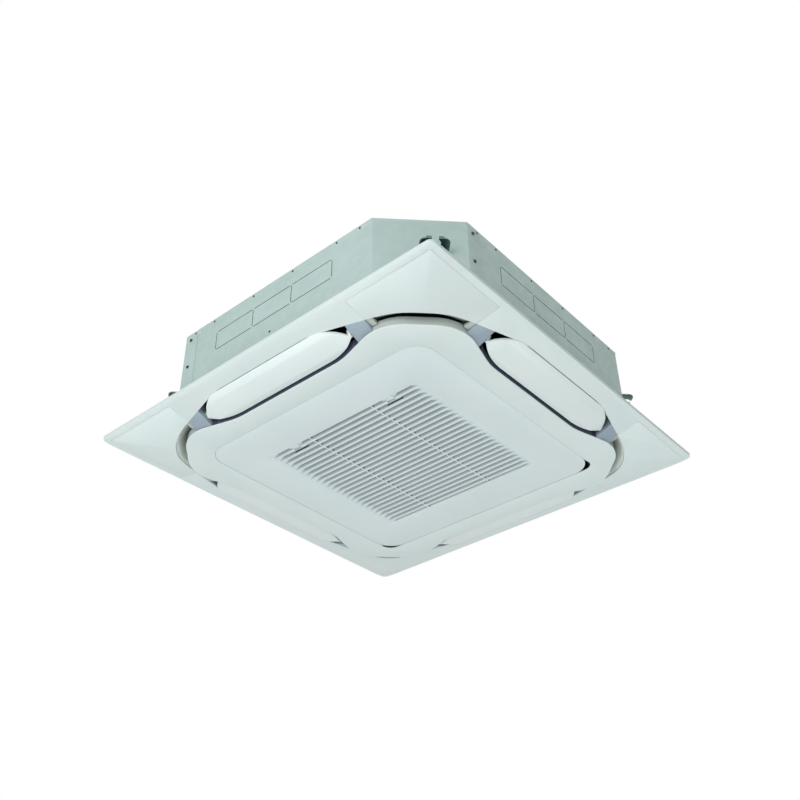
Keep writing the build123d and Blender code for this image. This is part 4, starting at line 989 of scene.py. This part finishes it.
@dataclass
class Grille:
    """The suction grille with its leaning slats, its hinge pins, latches and filter.

    The slots run along Y and are counted from -X, where the two latches stand in the first of them.
    """

    bench: Bench
    slot_count: int = 25
    slot_pitch: float = 16.8 * MM
    slot_width: float = 10.4 * MM
    latch_slats: int = 2
    half_length: float = 213.0 * MM
    wall: float = 3.0 * MM
    slat_height: float = 7.0 * MM
    lean: float = math.radians(35.0)
    slat_edge: float = 0.5 * MM
    side_margin: float = 0.1
    rib_place: float = 90.0 * MM
    rib_width: float = 3.0 * MM
    rib_low: float = 0.4 * MM
    ramp_length: float = 22.0 * MM
    ramp_thickness: float = 1.6 * MM
    knob_half: float = 10.0 * MM
    knob_gap: float = 0.4 * MM
    corner_radius: float = 50.0 * MM
    lip_width: float = 1.4 * MM
    lip_height: float = 1.4 * MM
    lip_low: float = 1.0 * MM
    lip_setback: float = 26.0 * MM
    net_pitch: float = 4.0 * MM
    net_thread: float = 0.5 * MM

    @property
    def half_side(self) -> float:
        """Half the grille's side."""
        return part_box("suction_grille")[1].y

    @property
    def half_field(self) -> float:
        """Half the width of the slatted field, across the slots."""
        return ((self.slot_count - 1) * self.slot_pitch + self.slot_width) / 2

    def field_cutter(self) -> bpy.types.Object:
        """Make the leaning block that clears the slatted field of the plate.

        Returns:
            The block.
        """
        slope = math.tan(self.lean)
        corners = [(side * self.half_field - slope * z, y * self.half_length, z)
                   for z in (-self.wall, self.wall)
                   for side, y in ((-1, -1), (1, -1), (1, 1), (-1, 1))]
        faces = [(3, 2, 1, 0), (4, 5, 6, 7), (0, 1, 5, 4), (1, 2, 6, 5), (2, 3, 7, 6), (3, 0, 4, 7)]
        mesh = bpy.data.meshes.new("field_cutter")
        mesh.from_pydata(corners, [], faces)
        return put_in_scene("field_cutter", mesh)

    def slat_bank(self, tree: PatternTree) -> tuple[Socket, ...]:
        """Lay the leaning slats side by side, with the first two in pieces that are low beside the latches.

        Args:
            tree: The slatted field's tree.

        Returns:
            The whole slats, the backing behind the last slot, and the pieces of the first two slats.
        """
        pitch = tree.size("Slat Pitch", self.slot_pitch)
        width = tree.reckon("SUBTRACT", pitch, tree.size("Slot Width", self.slot_width))
        slope = tree.size("Lean Slope", math.tan(self.lean))
        edge = tree.size("Slat Edge", self.slat_edge)
        first = tree.size("First Slat", self.slot_pitch / 2 - (self.slot_count - 1) / 2 * self.slot_pitch)
        tall, low = tree.size("Slat Height", self.slat_height), tree.size("Latch Slat Height", self.wall)

        def slat(length: Socket, height: Socket) -> Socket:
            """Make one soft-edged slat whose lower face is centred on x = 0, z = 0.

            Args:
                length: Its length.
                height: Its height.

            Returns:
                The slat.
            """
            shift = tree.reckon("MULTIPLY", height, slope)
            section = tree.node("GeometryNodeCurvePrimitiveQuadrilateral",
                                {"Width": width, "Height": height, "Offset": shift}, mode="PARALLELOGRAM")
            half = tree.reckon("MULTIPLY", length, 0.5)
            line = tree.node("GeometryNodeCurvePrimitiveLine", {
                "Start": tree.vector(y=tree.reckon("MULTIPLY", half, -1.0)), "End": tree.vector(y=half)})
            swept = tree.swept(line.outputs[0], tree.rounded(section.outputs[0], edge, steps=3), capped=True)
            return tree.moved(swept, translation=tree.vector(
                tree.reckon("MULTIPLY", shift, -0.5), 0.0, tree.reckon("MULTIPLY", height, 0.5)))

        def stretch(start: float, end: float, height: Socket) -> Socket:
            """Make a stretch of the first two slats, on the front and the rear half.

            Args:
                start: Where it starts, from the middle.
                end: Where it ends, from the middle.
                height: Its height.

            Returns:
                The four pieces.
            """
            length = tree.size(f"Piece {start / MM:.0f} Length", end - start)
            pair = tree.row(slat(length, height), 2, tree.vector(first, -(start + end) / 2),
                            (0.0, start + end, 0.0))
            return tree.row(pair, self.latch_slats, ZERO, tree.vector(pitch))

        full = tree.size("Slat Length", 2 * self.half_length)
        third = tree.reckon("MULTIPLY_ADD", pitch, self.latch_slats, first)
        whole = self.slot_count - 1 - self.latch_slats
        bank = tree.row(slat(full, tall), whole, tree.vector(third), tree.vector(pitch))
        last = self.half_field + (self.slot_pitch - self.slot_width) / 2 - self.wall * math.tan(self.lean)
        backing = tree.moved(slat(full, tree.size("Backing Height", self.slat_height - self.wall)),
                             translation=(last, 0.0, self.wall))
        knob_low, knob_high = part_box("latch_knob_rear")
        knob = (knob_low.y + knob_high.y) / 2
        window, room = self.knob_half + self.knob_gap, (knob_high.y - knob_low.y) / 2 + self.knob_gap
        beside = tree.moved(slat(tree.size("Window Length", 2 * window), low),
                            translation=tree.vector(tree.reckon("ADD", first, pitch)))
        return (bank, backing, stretch(0.0, knob - room, tall), stretch(knob - room, knob - window, low),
                stretch(knob + window, knob + room, low), stretch(knob + room, self.half_length, tall),
                tree.row(beside, 2, (0.0, -knob, 0.0), (0.0, 2 * knob, 0.0)))

    def ribs(self, tree: PatternTree, across: Socket) -> Socket:
        """Make the two ribs that cross the slots.

        Args:
            tree: The slatted field's tree.
            across: The field's width.

        Returns:
            The ribs.
        """
        height = self.slat_height - self.rib_low
        return tree.row(tree.bar(across, tree.size("Rib Width", self.rib_width), height), 2,
                        (0.0, -self.rib_place, self.rib_low + height / 2), (0.0, 2 * self.rib_place, 0.0))

    def ramps(self, tree: PatternTree, across: Socket) -> Socket:
        """Make the ramps that close the slots' two ends.

        Args:
            tree: The slatted field's tree.
            across: The field's width.

        Returns:
            The ramps.
        """
        rise = math.atan2(self.slat_height, self.ramp_length)
        length = math.hypot(self.slat_height, self.ramp_length)
        middle = (0.0, (self.ramp_length - math.sin(rise) * self.ramp_thickness) / 2 - self.half_length,
                  (self.slat_height + math.cos(rise) * self.ramp_thickness) / 2)
        ramp = tree.moved(tree.bar(across, length, self.ramp_thickness), rotation=(rise, 0.0, 0.0),
                          translation=middle)
        return tree.around(ramp, 2)

    def slats(self) -> None:
        """Make the slatted field: its slats, the ribs across them and the ramps at their ends."""
        tree = PatternTree("grille_slats")
        across = tree.size("Field Width", 2 * self.half_field)
        parts = (*self.slat_bank(tree), self.ribs(tree, across), self.ramps(tree, across))
        piece = self.bench.cast(tree, tree.joined(*parts), Finish.GRILLE)
        side_slope = math.sin(self.lean) + self.side_margin
        # Painted shade: the slats' leaning sides and the field's other steep faces take a darker grey than
        # the grille.
        self.bench.tint(piece, Finish.SLAT_SIDE_SHADE, lambda face: abs(face.normal.z) < side_slope)
        self.bench.add(piece, "suction_grille")

    def edge_lip(self) -> None:
        """Run the thin lip round the three free edges of the grille, inside the gap of its frame."""
        tree = PatternTree("grille_edge_lip")
        half = self.half_side + self.lip_width / 2
        start = self.half_side - self.lip_setback
        path = tree.oblong(tree.size("Lip Reach", half + start), tree.size("Lip Span", 2 * half))
        opened = tree.node("GeometryNodeSetSplineCyclic", {"Geometry": path, "Cyclic": False}).outputs[0]
        corner = tree.size("Lip Corner", self.corner_radius + self.lip_width / 2)
        width, height = tree.size("Lip Width", self.lip_width), tree.size("Lip Height", self.lip_height)
        swept = tree.swept(tree.rounded(opened, corner, steps=14), tree.oblong(width, height), capped=True)
        middle = ((start - half) / 2, 0.0, self.lip_low + self.lip_height / 2)
        placed = tree.moved(swept, translation=middle)
        self.bench.add(self.bench.cast(tree, placed, Finish.GRILLE), "suction_grille")

    def knob(self, node: str) -> None:
        """Draw a latch knob's finger face in to its window and give its hidden carrier painted shade.

        Args:
            node: The latch knob's node.
        """
        low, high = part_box(node)
        middle = (low.y + high.y) / 2
        face_top = self.wall + self.knob_gap / 2
        piece = self.bench.soften(node, Finish.GRILLE, edge=0.3 * MM)
        finger_face = [vertex.co for vertex in piece.data.vertices if vertex.co.z < face_top]
        reach = max(abs(place.y - middle) for place in finger_face)
        for place in finger_face:
            place.y = middle + (place.y - middle) * self.knob_half / reach
        # Painted shade: the knob above its finger face takes the slots' darker side grey.
        self.bench.tint(piece, Finish.SLAT_SIDE_SHADE, lambda face: face.center.z > face_top)

    def net(self) -> None:
        """Weave the filter's net from two crossing rows of threads."""
        low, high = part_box("filter_mesh")
        tree = PatternTree("filter_net")
        pitch, thread = tree.size("Thread Pitch", self.net_pitch), tree.size("Thread", self.net_thread)
        side = tree.size("Net Side", high.x - low.x)
        count = int((high.x - low.x) / self.net_pitch)
        start = -(count - 1) / 2 * self.net_pitch
        threads = tree.row(tree.bar(thread, side, thread), count, (start, 0.0, 0.0), tree.vector(pitch))
        crossed = tree.moved(threads, rotation=(0.0, 0.0, math.pi / 2), translation=tree.vector(z=thread))
        both = tree.moved(tree.joined(threads, crossed),
                          translation=(0.0, 0.0, low.z + self.net_thread / 2))
        self.bench.adopt(self.bench.cast(tree, both, Finish.NET, smooth=None), "filter_mesh")

    def build(self) -> None:
        """Finish every piece of the grille."""
        bench = self.bench
        bench.soften("suction_grille", Finish.GRILLE, cutter=self.field_cutter())
        self.slats()
        self.edge_lip()
        self.knob("latch_knob_front")
        self.knob("latch_knob_rear")
        bench.paint("grille_hinge_pins", Finish.SCREW)
        bench.soften("filter_frame", Finish.BLACK)
        self.net()


@dataclass
class Casing:
    """The folded casing, its screws, clinch marks and foam, and the hangers.

    The knock-outs' cut lines lie between slit_low and slit_high, and the clinch marks stand mark_places to
    either side of each side's middle.
    """

    bench: Bench
    sheet_distance: float = 415.0 * MM
    slit_low: float = 80.0 * MM
    slit_high: float = 240.0 * MM
    slit_reach: float = 240.0 * MM
    slit_facing: float = 0.5
    lip_tuck: float = 1.5 * MM
    screw_depth: float = 3.0 * MM
    head_radius: float = 4.2 * MM
    head_taper: float = 0.72
    head_height: float = 2.2 * MM
    head_sides: int = 24
    cross_width: float = 1.1 * MM
    mark_radius: float = 2.4 * MM
    mark_height: float = 1.4 * MM
    mark_sides: int = 16
    mark_places: tuple[float, ...] = (60.0 * MM, 188.0 * MM, 252.0 * MM)
    mark_drop: float = 6.0 * MM

    def side_sheet(self, side: str, outward: Vector) -> None:
        """Make a side sheet with painted shade on its knock-outs' cut lines.

        Args:
            side: The side's name.
            outward: The side's outward direction.
        """
        piece = self.bench.soften("casing_side_" + side, Finish.CASING, FINE_EDGE)
        # Painted shade: the walls of the knock-outs' cut lines are near black.
        self.bench.tint(piece, Finish.SLIT_SHADE, lambda face: (
            abs(face.normal.dot(outward)) < self.slit_facing
            and face.center.dot(outward) > self.sheet_distance
            and self.slit_low < face.center.z < self.slit_high
            and abs(face.center.cross(outward).z) < self.slit_reach))

    def top_sheet(self) -> None:
        """Make the top sheet and tuck its lip in at the lower edge."""
        top = self.bench.soften("casing_top", Finish.CASING, FINE_EDGE)
        low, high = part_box("casing_top")
        for vertex in top.data.vertices:
            if vertex.co.z < (low.z + high.z) / 2:
                vertex.co.xy *= 1.0 - self.lip_tuck / high.x

    def screws(self) -> None:
        """Make the pan-head screws of the lapped seams, two on each side."""
        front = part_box("casing_screws")[0].y
        tree = PatternTree("seam_screws")
        radius = tree.size("Head Radius", self.head_radius)
        height = tree.size("Head Height", self.head_height)
        width = tree.size("Cross Width", self.cross_width)
        head = tree.node("GeometryNodeMeshCone", {
            "Vertices": self.head_sides, "Radius Top": tree.reckon("MULTIPLY", radius, self.head_taper),
            "Radius Bottom": radius, "Depth": height}).outputs["Mesh"]
        cross = tree.joined(tree.bar(radius, width, height), tree.bar(width, radius, height))
        sunk = tree.moved(cross, translation=tree.vector(z=height))
        inputs = {"Mesh 1": head, "Mesh 2": sunk, "Self Intersection": True}
        cut = tree.node("GeometryNodeMeshBoolean", inputs, operation="DIFFERENCE", solver="EXACT")
        outward = tree.moved(cut.outputs["Mesh"], rotation=(math.pi / 2, 0.0, 0.0))
        near = [vertex.co for vertex in self.bench.frame["nodes"]["casing_screws"].data.vertices
                if abs(vertex.co.y - front) < self.screw_depth]
        levels = [round(point.z, 3) for point in near]
        bottom, top = min(levels) + self.head_radius, max(levels) - self.head_radius
        along = sum(point.x for point in near) / len(near)
        pair = tree.row(outward, 2, (along, front + self.head_height, bottom), (0.0, 0.0, top - bottom))
        piece = self.bench.cast(tree, tree.around(pair, 4), Finish.CLINCH, smooth=30.0)
        self.bench.adopt(piece, "casing_screws")

    def clinches(self) -> None:
        """Make the round clinch marks along the top sheet's turned-down edge."""
        low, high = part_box("casing_top")
        tree = PatternTree("clinch_marks")
        mark = tree.node("GeometryNodeMeshCylinder", {
            "Vertices": self.mark_sides, "Radius": tree.size("Mark Radius", self.mark_radius),
            "Depth": tree.size("Mark Height", self.mark_height)}).outputs["Mesh"]
        facing = tree.moved(mark, rotation=(math.pi / 2, 0.0, 0.0))
        y, z = low.y + self.mark_height / 2, tree.size("Mark Level", high.z - self.mark_drop)
        pairs = []
        for number, place in enumerate(self.mark_places, 1):
            along = tree.size(f"Mark Place {number}", place)
            pairs.append(tree.row(facing, 2, tree.vector(tree.reckon("MULTIPLY", along, -1.0), y, z),
                                  tree.vector(tree.reckon("MULTIPLY", along, 2.0))))
        piece = self.bench.cast(tree, tree.around(tree.joined(*pairs), 4), Finish.CLINCH)
        self.bench.add(piece, "casing_top")

    def build(self) -> None:
        """Finish every piece of the casing."""
        bench = self.bench
        for side, outward in SIDES.items():
            self.side_sheet(side, Vector((*outward, 0.0)))
        self.top_sheet()
        self.screws()
        self.clinches()
        bench.soften("hangers", Finish.HANGER, edge=0.7 * MM, segments=3)
        bench.paint("insulation", Finish.FOAM)
        bench.paint("top_insulation", Finish.FOAM)
        bench.paint("drain_pan", Finish.PAN)


@dataclass
class HeatExchanger:
    """The bent coil: its pack of fins, its tubes, its return bends and its end plates.

    The fins are fin_side deep, and corner_out is the radius of the coil's bends at their outer side.
    """

    bench: Bench
    fin_pitch: float = 2.6 * MM
    fin_thickness: float = 0.3 * MM
    fin_side: float = 51.0 * MM
    corner_out: float = 100.0 * MM
    corner_steps: int = 10
    row_gap: float = 25.5 * MM
    tube_radius: float = 4.8 * MM
    tube_levels: int = 4
    tube_pitch: float = 32.0 * MM

    def path_sizes(self, tree: PatternTree) -> tuple[Socket, Socket]:
        """Give a tree the sizes of the path through the fins' middle.

        Args:
            tree: The tree.

        Returns:
            Half the path's side, and its corners' radius.
        """
        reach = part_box("coil_fins")[1].x
        return (tree.size("Path Half", reach - self.fin_side / 2),
                tree.size("Path Corner", self.corner_out - self.fin_side / 2))

    def path(self, tree: PatternTree, half: Socket, corner: Socket) -> Socket:
        """Make a closed square path with rounded corners.

        Args:
            tree: The tree.
            half: Half its side.
            corner: Its corners' radius.

        Returns:
            The path.
        """
        side = tree.reckon("MULTIPLY", half, 2.0)
        return tree.rounded(tree.oblong(side, side), corner, self.corner_steps)

    def fins(self) -> None:
        """Stand the fins across the bent path, open towards one corner."""
        low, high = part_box("coil_fins")
        tree = PatternTree("coil_fin_pack")
        stations = tree.node("GeometryNodeResampleCurve", {
            "Curve": self.path(tree, *self.path_sizes(tree)),
            "Length": tree.size("Fin Pitch", self.fin_pitch)}, mode="LENGTH")
        turn = tree.node("FunctionNodeAlignRotationToVector", {
            "Vector": tree.node("GeometryNodeInputTangent").outputs[0]}, axis="X", pivot_axis="Z")
        open_corner = tree.past_corner(tree.size("Open Corner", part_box("coil_end_plates")[0].x))
        fin = tree.bar(tree.size("Fin Thickness", self.fin_thickness), tree.size("Fin Depth", self.fin_side),
                       tree.size("Fin Height", high.z - low.z))
        pack = tree.node("GeometryNodeInstanceOnPoints", {
            "Points": stations.outputs[0], "Selection": tree.reckon("SUBTRACT", 1.0, open_corner),
            "Instance": fin, "Rotation": turn.outputs[0]})
        raised = tree.moved(pack.outputs[0], translation=(0.0, 0.0, (low.z + high.z) / 2))
        self.bench.adopt(self.bench.cast(tree, raised, Finish.FIN, smooth=None), "coil_fins")

    def tubes(self) -> None:
        """Run the copper tubes through the fins, in two rows."""
        tree = PatternTree("coil_tubes")
        half, corner = self.path_sizes(tree)
        shift = tree.size("Row Shift", self.row_gap / 2)
        rim = tree.circle(tree.size("Tube Radius", self.tube_radius), corners=10)
        open_corner = tree.past_corner(tree.size("Open Corner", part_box("coil_end_plates")[0].x))
        rows = []
        for operation in ("ADD", "SUBTRACT"):
            sizes = (tree.reckon(operation, size, shift) for size in (half, corner))
            path = self.path(tree, *sizes)
            divided = tree.node("GeometryNodeDeleteGeometry", {
                "Geometry": tree.swept(path, rim), "Selection": open_corner})
            rows.append(divided.outputs[0])
        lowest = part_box("return_bends")[0].z + self.tube_radius
        bank = tree.row(tree.joined(*rows), self.tube_levels, (0.0, 0.0, lowest),
                        (0.0, 0.0, self.tube_pitch))
        self.bench.add(self.bench.cast(tree, bank, Finish.COPPER), "return_bends")

    def bends(self) -> None:
        """Turn the tubes round at the end plate."""
        low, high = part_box("return_bends")
        tree = PatternTree("tube_return_bends")
        arc = tree.node("GeometryNodeCurveArc", {
            "Resolution": 18, "Radius": tree.size("Bend Radius", self.row_gap / 2), "Start Angle": 0.0,
            "Sweep Angle": math.pi}, mode="RADIUS")
        rim = tree.circle(tree.size("Tube Radius", self.tube_radius), corners=14)
        bank = tree.row(tree.swept(arc.outputs[0], rim), self.tube_levels,
                        ((low.x + high.x) / 2, low.y, low.z + self.tube_radius),
                        tree.vector(z=tree.size("Bend Pitch", self.tube_pitch)))
        self.bench.adopt(self.bench.cast(tree, bank, Finish.COPPER), "return_bends")

    def build(self) -> None:
        """Finish every piece of the heat exchanger."""
        self.fins()
        self.tubes()
        self.bends()
        self.bench.paint("coil_end_plates", Finish.CASING)


@dataclass
class Works:
    """What makes the unit run: fan, switch box, pump and pipes."""

    bench: Bench

    def build(self) -> None:
        """Finish every inner piece."""
        bench = self.bench
        for node in ("bell_mouth", "turbo_fan", "drain_pump", "drain_socket", "float_switch"):
            bench.soften(node, Finish.DUCT)
        for node in ("fan_nut", "motor_shaft"):
            bench.paint(node, Finish.SCREW)
        for node in ("fan_motor", "cable_grommet"):
            bench.soften(node, Finish.BLACK)
        bench.paint("motor_mounts", Finish.RUBBER)
        for node in ("switch_box", "switch_box_cover"):
            bench.soften(node, Finish.CASING, FINE_EDGE)
        bench.paint("drain_float", Finish.FLOAT)
        for node in ("gas_pipe", "liquid_pipe"):
            bench.soften(node, Finish.COPPER, FINE_EDGE)


def main() -> None:
    """Build the studio and the object."""
    logging.basicConfig(level=logging.INFO, format="%(message)s")
    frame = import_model()
    bench = Bench(frame)
    Studio().build()
    for assembly in (Panel(bench), Grille(bench), Casing(bench), HeatExchanger(bench), Works(bench)):
        assembly.build()
    bpy.context.view_layer.update()


if __name__ == "__main__":
    main()
